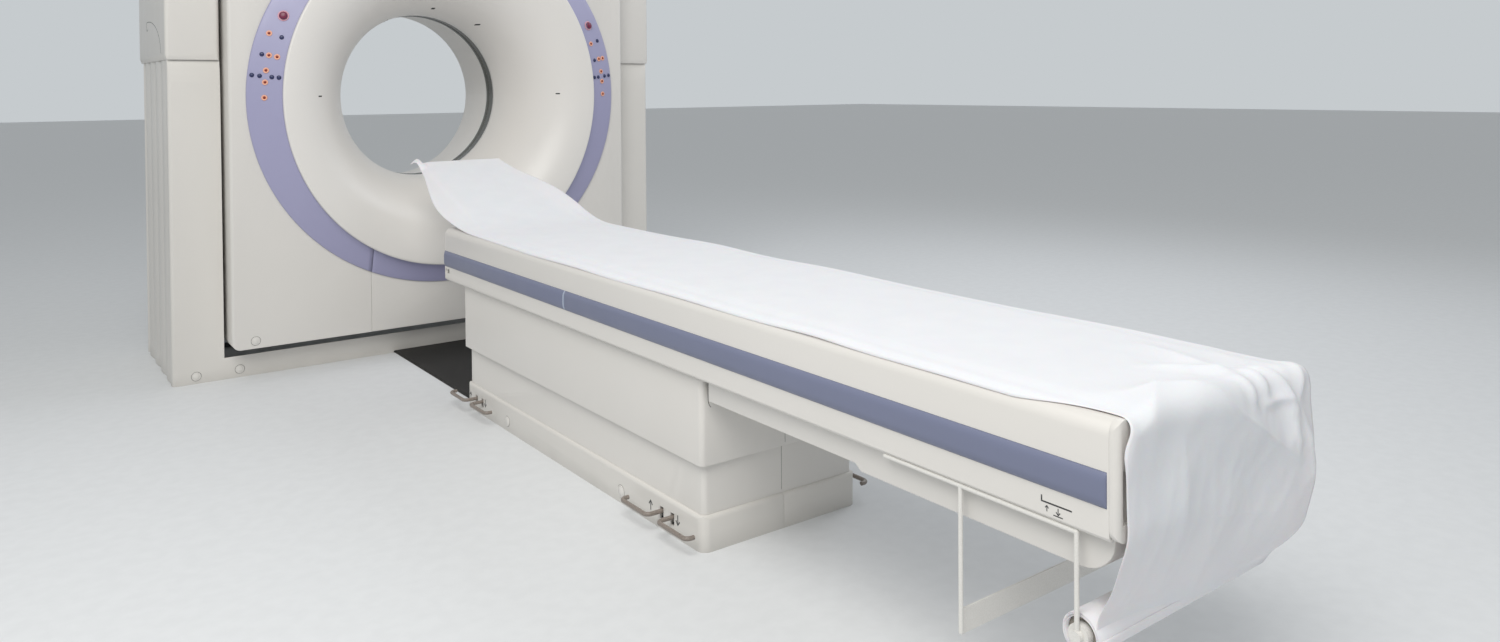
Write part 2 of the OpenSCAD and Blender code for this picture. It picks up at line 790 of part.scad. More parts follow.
module end_caps() {
    color("#dedad6") {
        difference() {
            intersection() {
                along_y(-foot_y, -foot_y + 14) round_rect([-half_table, panel_low],
                    [half_table, shoulder_z], 20);
                linear_extrude(shoulder_z) round_rect([-half_table, -foot_y], [half_table, 0], 12);
            }
            both_sides() block([half_table - 40, -foot_y - 1, panel_low + 26],
                [half_table - 14, -foot_y + 8, panel_low + 106]);
            block([-top_w / 2 - 4, -foot_y - 1, top_z0 - 3], [top_w / 2 + 4, -foot_y + 15, shoulder_z + 1]);
        }
        along_y(-head_y - 12, -head_y) round_rect([-half_table + wall, panel_low + wall],
            [half_table - wall, top_z0 - 3], 6);
    }
}

// Tray that closes the underside of the overhanging foot end
module under_pan() {
    pan_x = half_table - 24;
    z0 = 361;
    step = 12;
    function pan(t, top) = concat([[-base_foot - 23 - t, top], [-base_foot - 23 - t, z0 + t],
        [-3105, z0 + t], [-3121, z0 - step + t]],
        arc(-foot_y + 78, z0 - step + 60, 60 - t, 270, 200, 6),
        [[-foot_y + 18 + t, top]]);
    color("#d6d2cc") difference() {
        along_x(-pan_x, pan_x) polygon(pan(0, panel_low));
        along_x(-pan_x + 4, pan_x - 4) polygon(pan(4, panel_low + 1));
    }
}

// Bent rod brackets, cross strip and spindle for the paper roll
module roll_holder() {
    rod = 4;
    x = half_table - 6;
    top = panel_low - rod;
    leg_y = 3384;
    low = 161;
    color("#e6e4e0") union() {
        both_sides() {
            rod_between([x, -3204, top], [x, -roll_y, top], rod);
            rod_between([x, -leg_y, top], [x, -leg_y, low], rod);
            rod_between([x, -roll_y, top], [x, -roll_y, roll_z], rod);
            translate([x, -roll_y, top]) sphere(r = rod);
            translate([x, -leg_y, low]) sphere(r = rod);
            cross_cylinder(10, paper_w / 2 + 2, x + 6, -roll_y, roll_z);
            cross_cylinder(spindle_r - fit, paper_w / 2 - 30, paper_w / 2 + 3, -roll_y, roll_z);
        }
        cross_cylinder(6, -paper_w / 2, paper_w / 2, -roll_y, roll_z);
        block([-x, -leg_y - 1.5, low - 4], [x, -leg_y + 1.5, low + 39]);
    }
}

module rod_between(a, b, r) {
    d = b - a;
    translate(a) rotate([0, acos(d[2] / norm(d)), atan2(d[1], d[0])]) cylinder(r = r, h = norm(d));
}

module paper_roll() {
    color("#f3f0f5") difference() {
        cross_cylinder(roll_r, -paper_w / 2, paper_w / 2, -roll_y, roll_z);
        cross_cylinder(spindle_r, -paper_w / 2 - 1, paper_w / 2 + 1, -roll_y, roll_z);
    }
}

// The hanging paper as a bent strip: it starts on the end cap and runs down to the roll
module paper_web() {
    lap_z = shoulder_z + gap_seat;
    path = [[foot_y - 9, lap_z], [foot_y + 8, lap_z], [foot_y + 17, shoulder_z - 14], [foot_y + 17, 522],
        [foot_y + 14, 444], [foot_y + 6, 380], [foot_y - 12, 320], [roll_y + roll_r + 1.5, roll_z + 12]];
    color("#f3f0f5") along_x(-paper_w / 2, paper_w / 2) polygon(concat(
        [for (p = path) [-p[0] - paper_t, p[1] + paper_t]],
        [for (i = [len(path) - 1:-1:0]) [-path[i][0], path[i][1]]]));
}

module tabletop() {
    color("#e8e6e2") along_y(-tab_foot, -tab_head)
        round_rect([-top_w / 2, top_z0], [top_w / 2, pad_z - pad_t], 8);
}

module table_pad() {
    color("#d8d8d8") along_y(-tab_foot + 4, -tab_head - 4)
        round_rect([-top_w / 2 + 8, pad_z - pad_t], [top_w / 2 - 8, pad_z], 3.9);
}

module head_holder() {
    color("#e8e6e2") union() {
        block([-130, -tab_head, top_z0], [130, -tab_head + 12, ramp(tab_head) - 34]);
        intersection() {
            along_x(-180, 180) polygon([[-tab_head, ramp(tab_head) - 42], [-ramp_end, ramp(ramp_end) - 38],
                [-ramp_end, ramp(ramp_end) - 30], [-tab_head, ramp(tab_head) - 30]]);
            linear_extrude(900) head_plan(8);
        }
    }
}

// Plan of the head rest, narrowing towards the bore
module head_plan(inset) {
    polygon(concat([[-180 + inset, -ramp_start], [180 - inset, -ramp_start]],
        [[150 - inset, -ramp_end - 40]], arc(110 - inset, -ramp_end - 40, 40, 0, 90, 6),
        arc(-110 + inset, -ramp_end - 40, 40, 90, 180, 6)));
}

module head_cushion() {
    color("#c9cdcc") intersection() {
        along_x(-180, 180) polygon([[-ramp_start + 4, pad_z + 0.3], [-tab_head, pad_z + 0.3],
            [-tab_head, ramp(tab_head) - 29.7], [-ramp_end, ramp(ramp_end) - 29.7],
            [-ramp_end, ramp(ramp_end) - 0.5], [-ramp_start + 4, ramp(ramp_start - 4) - 0.5]]);
        linear_extrude(900) head_plan(0);
    }
}

module paper_sheet() {
    color("#f3f0f5") intersection() {
        along_x(-paper_w / 2, paper_w / 2) polygon([[-foot_y + 4, pad_z + 0.3], [-ramp_start, pad_z + 0.3],
            [-ramp_end + 12, ramp(ramp_end - 12)], [-ramp_end + 12, ramp(ramp_end - 12) + paper_t],
            [-ramp_start, pad_z + 0.3 + paper_t], [-foot_y + 4, pad_z + 0.3 + paper_t]]);
        linear_extrude(1000) polygon([[-paper_w / 2, -foot_y], [paper_w / 2, -foot_y],
            [paper_w / 2, -ramp_start + 40], [168, -ramp_end + 12], [-168, -ramp_end + 12],
            [-paper_w / 2, -ramp_start + 40]]);
    }
}

// A quarter bend of the pedal rod, starting along X
module rod_bend(r, bend_r) {
    translate([0, bend_r, 0]) rotate([0, 0, -90]) rotate_extrude(angle = 90) translate([bend_r, 0]) circle(r = r);
}

// Bent rod pedal on the right side of the table, its tread running towards s and its end turned in
module pedal(y, s) {
    r = pedal_d / 2;
    bend_r = 14;
    out = half_base + 43;
    run = 96;
    tail = 8;
    color("#8a8079") translate([0, -y + s * pedal_pitch, pedal_z]) mirror([0, s > 0 ? 0 : 1, 0]) difference() {
        union() {
            translate([pivot_x, 0, 0]) rotate([0, 90, 0]) cylinder(r = r, h = out - bend_r - pivot_x);
            translate([out - bend_r, 0, 0]) rod_bend(r, bend_r);
            translate([out, bend_r, 0]) rotate([-90, 0, 0]) cylinder(r = r, h = run);
            translate([out, bend_r + run, 0]) rotate([0, 0, 90]) rod_bend(r, bend_r);
            translate([out - bend_r - tail, run + 2 * bend_r, 0]) rotate([0, 90, 0]) cylinder(r = r, h = tail);
            translate([pivot_x, 8, 0]) rotate([90, 0, 0]) cylinder(r = 9, h = 16);
        }
        translate([pivot_x, 9, 0]) rotate([90, 0, 0]) cylinder(r = 5, h = 18);
    }
}

stand_frame();
trunnion_bearings();
tilt_drive();
stand_front_cover();
side_cover_left();
side_cover_right();
tower_cap_left();
tower_cap_right();
floor_duct_cover();
table_base_plate();
table_plinth();
lift_column_outer();
tilt_frame();
drive_stator();
front_cover();
front_cover_lower();
ring_trim();
ring_trim_lower();
front_funnel();
scan_window();
bore_liner();
rear_cover();
middle_covers();
ring_keys_left();
ring_keys_right();
stop_left();
stop_right();
rotor_drum();
xray_tube();
collimator();
detector_arc();
power_units();
slip_ring();
lift_cover_low();
lift_cover_high();
column_stage_low();
column_stage_high();
table_frame();
upper_cover();
side_panel_left();
side_panel_right();
stripe_trims();
end_caps();
under_pan();
roll_holder();
paper_web();
tabletop();
table_pad();
head_holder();
head_cushion();
paper_sheet();
paper_roll();
mirror([1, 0, 0]) pedal(pedal_y[0], 1);  // pedal_head_left_up
mirror([1, 0, 0]) pedal(pedal_y[0], -1);  // pedal_head_left_down
mirror([1, 0, 0]) pedal(pedal_y[1], 1);  // pedal_foot_left_up
mirror([1, 0, 0]) pedal(pedal_y[1], -1);  // pedal_foot_left_down
pedal(pedal_y[0], 1);  // pedal_head_right_up
pedal(pedal_y[0], -1);  // pedal_head_right_down
pedal(pedal_y[1], 1);  // pedal_foot_right_up
pedal(pedal_y[1], -1);  // pedal_foot_right_down
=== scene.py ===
# %% [markdown]
# # A ring scanner with its patient table
# The machine is a tall white housing with a round bore, and a long table in front of it that carries
# a sheet of examination paper. The construction model comes in as a fixed frame: every cover, rod and
# hidden part already sits where it belongs. What is added here is what a designer would call the
# finish: soft edges, smooth mouldings, keys, the draped paper and the surfaces.

import bmesh
import bpy
import numpy as np
from mathutils import Matrix, Vector


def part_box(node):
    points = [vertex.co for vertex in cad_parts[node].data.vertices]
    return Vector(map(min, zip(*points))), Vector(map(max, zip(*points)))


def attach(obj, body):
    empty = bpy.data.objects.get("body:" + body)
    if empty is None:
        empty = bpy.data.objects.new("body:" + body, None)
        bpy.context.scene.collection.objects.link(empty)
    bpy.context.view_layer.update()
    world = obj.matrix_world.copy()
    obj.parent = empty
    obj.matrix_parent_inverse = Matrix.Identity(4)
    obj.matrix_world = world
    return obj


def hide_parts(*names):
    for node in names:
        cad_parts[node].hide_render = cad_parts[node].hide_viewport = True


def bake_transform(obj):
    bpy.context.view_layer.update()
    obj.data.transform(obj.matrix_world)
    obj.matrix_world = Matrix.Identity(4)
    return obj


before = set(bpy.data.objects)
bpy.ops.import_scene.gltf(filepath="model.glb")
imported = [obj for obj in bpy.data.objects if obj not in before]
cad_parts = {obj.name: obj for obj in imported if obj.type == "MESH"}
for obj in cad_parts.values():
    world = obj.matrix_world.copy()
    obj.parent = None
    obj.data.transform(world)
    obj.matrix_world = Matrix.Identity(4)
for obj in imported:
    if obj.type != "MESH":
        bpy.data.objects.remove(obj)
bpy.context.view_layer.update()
MM = 0.001
print("nodes in the frame:", len(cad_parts))

# %% [markdown]
# ## Sizes read from the frame
# A piece that is made here has to meet pieces that are already there, so its sizes come from the
# boxes of its neighbours and not from a ruler on the picture.

# %% Main places
ring_hi = Vector(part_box("ring_trim")[1])
funnel_lo, funnel_hi = (Vector(c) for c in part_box("front_funnel"))
window_lo, window_hi = (Vector(c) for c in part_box("scan_window"))
panel_lo = Vector(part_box("front_cover")[0])
pad_lo, pad_hi = (Vector(c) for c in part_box("table_pad"))
side_lo, side_hi = (Vector(c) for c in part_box("side_panel_left"))
roll_lo, roll_hi = (Vector(c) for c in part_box("paper_roll"))
web_lo = Vector(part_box("paper_web")[0])
sheet_hi = Vector(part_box("paper_sheet")[1])

WINDOW_WALL = 5 * MM
BORE_Z = (funnel_lo.z + funnel_hi.z) / 2
BORE_R = (window_hi.x - window_lo.x) / 2 - WINDOW_WALL
RING_R = ring_hi.x
RING_IN_R = 640 * MM  # hidden under the funnel's rim
RING_SLOPE = 0.34  # forward per radius, towards the bore
RING_EDGE = 8 * MM  # thickness at the outer edge
RIM_RX = (funnel_hi.x - funnel_lo.x) / 2
RIM_RZ = (funnel_hi.z - funnel_lo.z) / 2
PANEL_Y = panel_lo.y
SEAM_X = 319 * MM  # half the width of the removable lower panel
SIDES = (-1, "left"), (1, "right")
print("bore axis %.3f m up, bore radius %.3f m, ring radius %.3f m" % (BORE_Z, BORE_R, RING_R))

# %% [markdown]
# ## Colours and nodes
# Colours are written as the sRGB values a paint chart gives. The shader works in linear light, so one
# function converts them. A second small function adds a shader node with its settings and links.

# %% Colour and node helpers
def srgb(code):
    """The linear RGBA of a hex colour: each channel c becomes c / 12.92 up to 0.04045, and
    ((c + 0.055) / 1.055)^2.4 above."""
    c = np.array([int(code[i:i + 2], 16) / 255 for i in (1, 3, 5)])
    linear = np.where(c <= 0.04045, c / 12.92, ((c + 0.055) / 1.055) ** 2.4)
    return (*linear.tolist(), 1.0)


def add(tree, kind, inputs=None, **settings):
    """Adds a node, sets its properties, and fills or links its inputs, each given by identifier, name
    or number."""
    node = tree.nodes.new(kind)
    for key, value in settings.items():
        setattr(node, key, value)
    for key, value in (inputs or {}).items():
        socket = next((i for i in node.inputs if i.identifier == key), None) or node.inputs[key]
        if isinstance(value, bpy.types.NodeSocket):
            tree.links.new(value, socket)
        else:
            socket.default_value = value
    return node


def new_material(name, shader_values):
    """A material with one Principled shader; returns the material, its tree and the shader."""
    mat = bpy.data.materials.new(name)
    mat.use_nodes = True
    mat.diffuse_color = shader_values["Base Color"]
    tree = mat.node_tree
    tree.nodes.clear()
    shader = add(tree, "ShaderNodeBsdfPrincipled", shader_values)
    add(tree, "ShaderNodeOutputMaterial", {"Surface": shader.outputs["BSDF"]})
    return mat, tree, shader


MIXED = 2  # the colour among a Mix node's outputs
print("middle grey in linear light: %.3f" % srgb("#808080")[0])


# %% [markdown]
# ## The moulded covers
# The covers are thick polyurethane mouldings with a satin two-pack paint. Such paint has a faint
# orange peel a couple of millimetres wide, which breaks up its reflections, a colour that drifts a
# little from one end of a big panel to the other, and a grey veil of floor dirt on the lowest
# centimetres. One function makes every painted moulding, because only the colour and gloss differ.

# %% Painted mouldings
DIRT_TOP = 45 * MM
FLOOR_DIRT = "#8d8a84"
GLOSS_SPREAD = 0.05


def painted_moulding(name, colour, shade, roughness, peel_mm=2.2, peel_depth_mm=0.02, dirt=0.0):
    """Satin paint: colour drifts to shade on noise about 0.5 m wide, roughness varies by a tenth,
    and the bump is noise of the orange peel's width. Dirt fades out from the floor up to DIRT_TOP."""
    values = {"Base Color": srgb(colour), "Roughness": roughness, "IOR": 1.5}
    mat, tree, shader = new_material(name, values)
    where = add(tree, "ShaderNodeTexCoord").outputs["Object"]
    drift = add(tree, "ShaderNodeTexNoise", {"Vector": where, "Scale": 2.0, "Detail": 2.0})
    tint = add(tree, "ShaderNodeMix", {"Factor_Float": drift.outputs["Fac"], "A_Color": srgb(colour),
                                       "B_Color": srgb(shade)}, data_type="RGBA").outputs[MIXED]
    if dirt:
        height = add(tree, "ShaderNodeSeparateXYZ", {"Vector": where}).outputs["Z"]
        smudge = add(tree, "ShaderNodeTexNoise", {"Vector": where, "Scale": 9.0, "Detail": 2.0})
        low = add(tree, "ShaderNodeMapRange", {"Value": height, "From Min": 0.0, "From Max": DIRT_TOP,
                                               "To Min": dirt, "To Max": 0.0})
        veil = add(tree, "ShaderNodeMath", {0: low.outputs["Result"], 1: smudge.outputs["Fac"]},
                   operation="MULTIPLY")
        tint = add(tree, "ShaderNodeMix", {"Factor_Float": veil.outputs["Value"], "A_Color": tint,
                                           "B_Color": srgb(FLOOR_DIRT)}, data_type="RGBA").outputs[MIXED]
    tree.links.new(tint, shader.inputs["Base Color"])
    gloss = add(tree, "ShaderNodeTexNoise", {"Vector": where, "Scale": 9.0, "Detail": 3.0})
    spread = add(tree, "ShaderNodeMapRange", {
        "Value": gloss.outputs["Fac"], "From Min": 0.3, "From Max": 0.7,
        "To Min": roughness - GLOSS_SPREAD, "To Max": roughness + GLOSS_SPREAD})
    tree.links.new(spread.outputs["Result"], shader.inputs["Roughness"])
    peel = add(tree, "ShaderNodeTexNoise", {"Vector": where, "Scale": 1 / (peel_mm * MM), "Detail": 1.0})
    bump = add(tree, "ShaderNodeBump", {"Height": peel.outputs["Fac"], "Strength": 0.5,
                                        "Distance": peel_depth_mm * MM})
    tree.links.new(bump.outputs["Normal"], shader.inputs["Normal"])
    return mat


ivory = painted_moulding("polyurethane_ivory_satin", "#e0ddd9", "#dad7d2", 0.38)
ivory_low = painted_moulding("polyurethane_ivory_low_covers", "#dddad5", "#d7d4cf", 0.40, dirt=0.35)
funnel_white = painted_moulding("polyurethane_white_funnel", "#e6e3df", "#e1deda", 0.34)
lavender = painted_moulding("polyurethane_lavender_satin", "#a3a2c1", "#9d9cbc", 0.36)
bumper = painted_moulding("pvc_bumper_blue_grey", "#777c95", "#71778f", 0.42, peel_mm=1.2)
bumper_joint = painted_moulding("pvc_joint_strip_pale_blue", "#a9b3c4", "#a4aec0", 0.40, peel_mm=1.2)
top_white = painted_moulding("composite_tabletop_white", "#e6e4e0", "#e0ded9", 0.45)
print("painted finishes ready")

# %% [markdown]
# ## Smaller finishes
# The scan window is a thin polycarbonate hoop, almost black. The floor duct is a ribbed rubber mat.
# Rods are lacquered steel: a smooth coat over a round bar. The hidden steel and castings get a plain
# rolled or cast surface, because they show only when a cover is lifted. Keys and lenses are moulded
# acrylic, smooth enough for a small sharp highlight, and the stop buttons' nylon is a little softer.
# The pads' vinyl has a fine leather grain that dulls it. Ink, shadow gaps and the roll's cardboard are
# matt, so they read as flat marks from any side. Wound copper and ground steel shine in streaks.

# %% Grained finishes
def grained(name, colour, shade, roughness, grain_mm, depth_mm, metallic=0.0, stretch=(1, 1, 1)):
    """Two shades mixed on a noise of the grain's width, which also gives the bump; stretch draws it out."""
    values = {"Base Color": srgb(colour), "Roughness": roughness, "Metallic": metallic}
    mat, tree, shader = new_material(name, values)
    where = add(tree, "ShaderNodeTexCoord").outputs["Object"]
    drawn = add(tree, "ShaderNodeMapping", {"Vector": where, "Scale": stretch})
    grain = add(tree, "ShaderNodeTexNoise", {"Vector": drawn.outputs["Vector"],
                                             "Scale": 1 / (grain_mm * MM), "Detail": 3.0})
    ramp = add(tree, "ShaderNodeValToRGB", {"Fac": grain.outputs["Fac"]})
    for stop, value, position in zip(ramp.color_ramp.elements, (shade, colour), (0.35, 0.65)):
        stop.color, stop.position = srgb(value), position
    tree.links.new(ramp.outputs["Color"], shader.inputs["Base Color"])
    bump = add(tree, "ShaderNodeBump", {"Height": grain.outputs["Fac"], "Strength": 0.6,
                                        "Distance": depth_mm * MM})
    tree.links.new(bump.outputs["Normal"], shader.inputs["Normal"])
    return mat


smoked = grained("polycarbonate_smoke_window", "#4c4c45", "#45453f", 0.22, 3.0, 0.01)
mat_rubber = grained("rubber_floor_mat_black", "#242322", "#1c1b1a", 0.62, 4.0, 0.15)
lacquer = grained("lacquered_steel_white", "#e4e2de", "#dddbd6", 0.30, 2.5, 0.01)
rod_brown = grained("lacquered_steel_grey_brown", "#8f857d", "#7c736c", 0.34, 3.0, 0.02)
steel_plate = grained("painted_steel_grey", "#62666a", "#55595d", 0.50, 2.0, 0.03)
ground_steel = grained("ground_steel_bright", "#b8bcc0", "#a4a8ad", 0.28, 1.5, 0.01, 1.0, (0.05, 1, 1))
cast_alloy = grained("cast_aluminium_raw", "#b4b7ba", "#9fa3a6", 0.45, 1.8, 0.06, 1.0)
copper = grained("copper_windings", "#b57a46", "#8f5a30", 0.40, 1.2, 0.05, 1.0)
vinyl = grained("vinyl_pad_grey", "#cfd1d2", "#c4c7c9", 0.48, 1.4, 0.04)
dark_line = grained("shadow_gap_black", "#2a2927", "#211f1e", 0.70, 1.0, 0.01)
lens_red = grained("acrylic_lens_dark_red", "#8c2612", "#7a1e10", 0.20, 2.0, 0.005)
lens_rim = grained("acrylic_rim_peach_lit", "#f3b79c", "#eda888", 0.35, 2.0, 0.005)
key_blue = grained("acrylic_key_dark_blue", "#2d3460", "#252b52", 0.22, 2.0, 0.005)
stop_red = grained("nylon_stop_dark_red", "#7a2446", "#6c1d3c", 0.30, 2.0, 0.01)
stop_rim = grained("nylon_collar_pink", "#dfa9b6", "#d49ba9", 0.38, 2.0, 0.01)
seam_grey = grained("seam_shadow_grey", "#8f8e89", "#878681", 0.60, 2.0, 0.005)
# Dark grey ink for the printed marks; on the towers the same grey is painted shade in the latch grooves
ink_and_groove_shade = grained("ink_and_groove_shade_dark_grey", "#3a3a3c", "#303032", 0.60, 1.0, 0.002)
board = grained("cardboard_core_grey", "#9d978d", "#8e887f", 0.80, 1.5, 0.04)
print("materials so far:", len(bpy.data.materials))

# %% Which node has which finish
FINISHES = {
    ivory: ["tower_cap_left", "tower_cap_right", "front_cover", "front_cover_lower", "rear_cover",
            "middle_covers", "side_panel_left", "side_panel_right", "end_caps", "under_pan", "upper_cover",
            "lift_cover_low", "lift_cover_high"],
    ivory_low: ["stand_front_cover", "side_cover_left", "side_cover_right", "table_plinth"],
    funnel_white: ["front_funnel", "bore_liner"],
    lavender: ["ring_trim", "ring_trim_lower"],
    bumper: ["stripe_trims"],
    smoked: ["scan_window"],
    mat_rubber: ["floor_duct_cover"],
    lacquer: ["roll_holder"],
    rod_brown: [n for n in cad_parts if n.startswith("pedal_")],
    steel_plate: ["stand_frame", "tilt_drive", "table_base_plate", "table_frame", "lift_column_outer",
                  "power_units"],
    ground_steel: ["trunnion_bearings", "column_stage_low", "column_stage_high"],
    cast_alloy: ["tilt_frame", "rotor_drum", "xray_tube", "detector_arc", "collimator"],
    copper: ["drive_stator", "slip_ring"],
    top_white: ["tabletop", "head_holder"],
    vinyl: ["table_pad", "head_cushion"],
    lens_red: ["ring_keys_left", "ring_keys_right"],
    stop_red: ["stop_left", "stop_right"],
}
for finish, names in FINISHES.items():
    for name in names:
        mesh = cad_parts[name].data
        mesh.materials.clear()
        mesh.materials.append(finish)
print("finished nodes:", sum(len(names) for names in FINISHES.values()))

# %% [markdown]
# ## Surfaces from grids
# Every new piece here is a surface worked out as an array: point (i, j) of a grid is a function of two
# parameters. One function turns such a grid into a mesh. A grid can close on itself in either
# direction, and where a whole row falls on one point, as at a pole, merging closes it.

# %% Grid to mesh
def surface(name, points, material, body, close_i=False, close_j=False, flip=False, uv=None):
    """A mesh from points[i, j]: each cell of the grid is one face. close_i and close_j join the last
    row or column to the first. Doubled points at poles are merged, and the piece rides on its body."""
    ni, nj = points.shape[:2]
    index = np.arange(ni * nj).reshape(ni, nj)
    a = index if close_i else index[:-1]
    b = np.roll(index, -1, 0) if close_i else index[1:]
    if not close_j:
        corners = (a[:, :-1], b[:, :-1], b[:, 1:], a[:, 1:])
    else:
        corners = (a, b, np.roll(b, -1, 1), np.roll(a, -1, 1))
    faces = np.stack(corners, -1).reshape(-1, 4)
    if flip:
        faces = faces[:, ::-1]
    mesh = bpy.data.meshes.new(name)
    mesh.from_pydata(points.reshape(-1, 3).tolist(), [], faces.tolist())
    if uv is not None:
        layer = mesh.uv_layers.new(name="flat")
        layer.data.foreach_set("uv", uv.reshape(-1, 2)[faces.ravel()].ravel())
    tidy_mesh(mesh)
    return place(name, mesh, material, body)


print("grid helper ready")


# %% Several grids in one mesh
def joined(name, grids, material, body):
    """Several grids in one mesh, each the skin of a solid of its own: its columns close on themselves,
    and its first and last row are poles or meet."""
    faces, count = [], 0
    for grid in grids:
        index = count + np.arange(grid.shape[0] * grid.shape[1]).reshape(grid.shape[:2])
        ring = np.roll(index, -1, 1)
        faces.append(np.stack([index[:-1], ring[:-1], ring[1:], index[1:]], -1).reshape(-1, 4))
        count += index.size
    mesh = bpy.data.meshes.new(name)
    points = np.concatenate([grid.reshape(-1, 3) for grid in grids])
    mesh.from_pydata(points.tolist(), [], np.concatenate(faces).tolist())
    tidy_mesh(mesh)
    recalculate(mesh)
    return place(name, mesh, material, body)


def with_poles(grid):
    """The grid with one more row at each end, all of it at the end row's middle, so that it closes."""
    return np.concatenate([grid[:1] * 0 + grid[0].mean(0), grid, grid[-1:] * 0 + grid[-1].mean(0)])


print("a grid of 5 rows gets %d with its poles" % len(with_poles(np.zeros((5, 8, 3)))))


# %% Cleaning, placing and thickening
def tidy_mesh(mesh, reach=1e-6):
    """Merges points closer than reach, drops faces with no area, and smooths the shading."""
    bm = bmesh.new()
    bm.from_mesh(mesh)
    bmesh.ops.remove_doubles(bm, verts=bm.verts, dist=reach)
    bmesh.ops.dissolve_degenerate(bm, edges=bm.edges, dist=reach)
    bm.to_mesh(mesh)
    bm.free()
    mesh.shade_smooth()


def recalculate(mesh):
    """Turns all faces outwards, for shapes whose rows may run either way round."""
    bm = bmesh.new()
    bm.from_mesh(mesh)
    bmesh.ops.recalc_face_normals(bm, faces=bm.faces)
    bm.to_mesh(mesh)
    bm.free()


def link(name, data):
    """A new object with this data, in the scene."""
    piece = bpy.data.objects.new(name, data)
    bpy.context.scene.collection.objects.link(piece)
    return piece


def place(name, mesh, material, body):
    """Puts a finished mesh into the scene at the origin, with its material and body."""
    piece = link(name, mesh)
    if not mesh.materials:
        mesh.materials.append(material)
    if body:
        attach(piece, body)
    return piece


def thicken(piece, thickness_mm, offset):
    """Gives an open surface a thickness, outwards with offset 1 and inwards with -1."""
    solid = piece.modifiers.new("thickness", "SOLIDIFY")
    solid.thickness = thickness_mm * MM
    solid.offset = offset


# %% [markdown]
# ## Soft edges on the covers
# A moulding or a folded sheet never has a knife edge, and the light that runs along its small round
# edges is what makes it look real. The frame's covers are copied, their triangles merged back into
# flat faces, and a bevel goes on every sharp edge. The copy then stands for its node.

# %% Bevelled copies
def soften(node, width_mm, body, angle_deg=28, segments=3):
    """A copy of a node with merged faces and a round of this width on every edge sharper than the angle."""
    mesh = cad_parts[node].data.copy()
    bm = bmesh.new()
    bm.from_mesh(mesh)
    bmesh.ops.remove_doubles(bm, verts=bm.verts, dist=5e-6)
    bmesh.ops.dissolve_limit(bm, angle_limit=np.radians(0.4), verts=bm.verts, edges=bm.edges)
    bm.to_mesh(mesh)
    bm.free()
    mesh.shade_smooth()
    piece = place(node + "_soft", mesh, None, body)
    bevel = piece.modifiers.new("round edge", "BEVEL")
    bevel.width = width_mm * MM
    bevel.segments = segments
    bevel.limit_method = "ANGLE"
    bevel.angle_limit = np.radians(angle_deg)
    bevel.harden_normals = True
    bevel.use_clamp_overlap = True
    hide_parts(node)
    return piece


SOFT_EDGES_MM = {
    "stand": {"stand_front_cover": 3, "side_cover_left": 2, "side_cover_right": 2, "tower_cap_left": 4,
              "tower_cap_right": 4, "table_plinth": 3},
    "tilt": {"front_cover": 3, "front_cover_lower": 1.5, "rear_cover": 2, "middle_covers": 1.5},
    "lift": {"side_panel_left": 1.5, "side_panel_right": 1.5, "end_caps": 3, "under_pan": 2,
             "upper_cover": 2},
    "cover_low": {"lift_cover_low": 1.5},
    "cover_high": {"lift_cover_high": 1.5},
    "top": {"tabletop": 2, "head_holder": 2},
}
for body, widths in SOFT_EDGES_MM.items():
    for node, width in widths.items():
        soften(node, width, body)
print("softened covers:", sum(len(w) for w in SOFT_EDGES_MM.values()))

# %% [markdown]
# ## The funnel
# The white ring round the bore is the hardest form on the machine: at its rim it is an upright oval,
# at the bore a true circle, and between them it follows a quarter of an ellipse. It is a surface of two
# parameters, the angle round the bore and the way from rim to throat, so that is how it is written. A
# second, inner surface 5 mm behind closes it into a shell.

# %% Funnel surface
RIM_ROUND = 7 * MM
SHELL = 5 * MM
SUNK = 0.3 * MM  # how far a piece that stands on another reaches into it
THROAT_Y = window_lo.y
ANGLES = np.linspace(0, 2 * np.pi, 240, endpoint=False)


def ring_face(r):
    """Y of the coloured ring's conical face at radius r: it comes forward by the slope towards the bore."""
    return PANEL_Y - RING_EDGE - (RING_R - r) * RING_SLOPE


def rim_radius(angle):
    """Radius of the oval rim: a b / sqrt((b cos)^2 + (a sin)^2), with half axes a across and b up."""
    return RIM_RX * RIM_RZ / np.sqrt((RIM_RZ * np.cos(angle)) ** 2 + (RIM_RX * np.sin(angle)) ** 2)


def funnel_rows():
    """Rows of (radius, y) at every angle: up the rim's side, round its lip, along the quarter ellipse to
    the throat, and back the same way one shell behind."""
    rim = rim_radius(ANGLES)
    lip = np.radians(np.linspace(0, 90, 7))[:, None]
    sweep = np.radians(np.linspace(0, 90, 56))[:, None]
    front, inner = funnel_lo.y, rim - RIM_ROUND
    side = np.stack([rim, ring_face(rim) - SUNK], -1)[None]
    round_lip = np.stack([rim - RIM_ROUND * (1 - np.cos(lip)) + 0 * lip,
                          front + RIM_ROUND * (1 - np.sin(lip)) + 0 * rim], -1)
    face = np.stack([inner - (inner - BORE_R) * np.sin(sweep),
                     THROAT_Y + (front - THROAT_Y) * np.cos(sweep) + 0 * rim], -1)
    back_out = np.stack([np.sin(sweep[::-1]) + 0 * rim, np.cos(sweep[::-1]) + 0 * rim], -1)
    behind = face[::-1] + SHELL * back_out
    foot = np.stack([inner, ring_face(inner) - SUNK], -1)[None]
    return np.concatenate([side, round_lip, face[1:], behind, foot])


def around_bore(radius, y, angle):
    """Points at a radius, y and angle about the bore axis; angle 0 points right and 90 degrees up."""
    radius, y, angle = np.broadcast_arrays(radius, y, angle)
    return np.stack([radius * np.cos(angle), y, BORE_Z + radius * np.sin(angle)], -1)


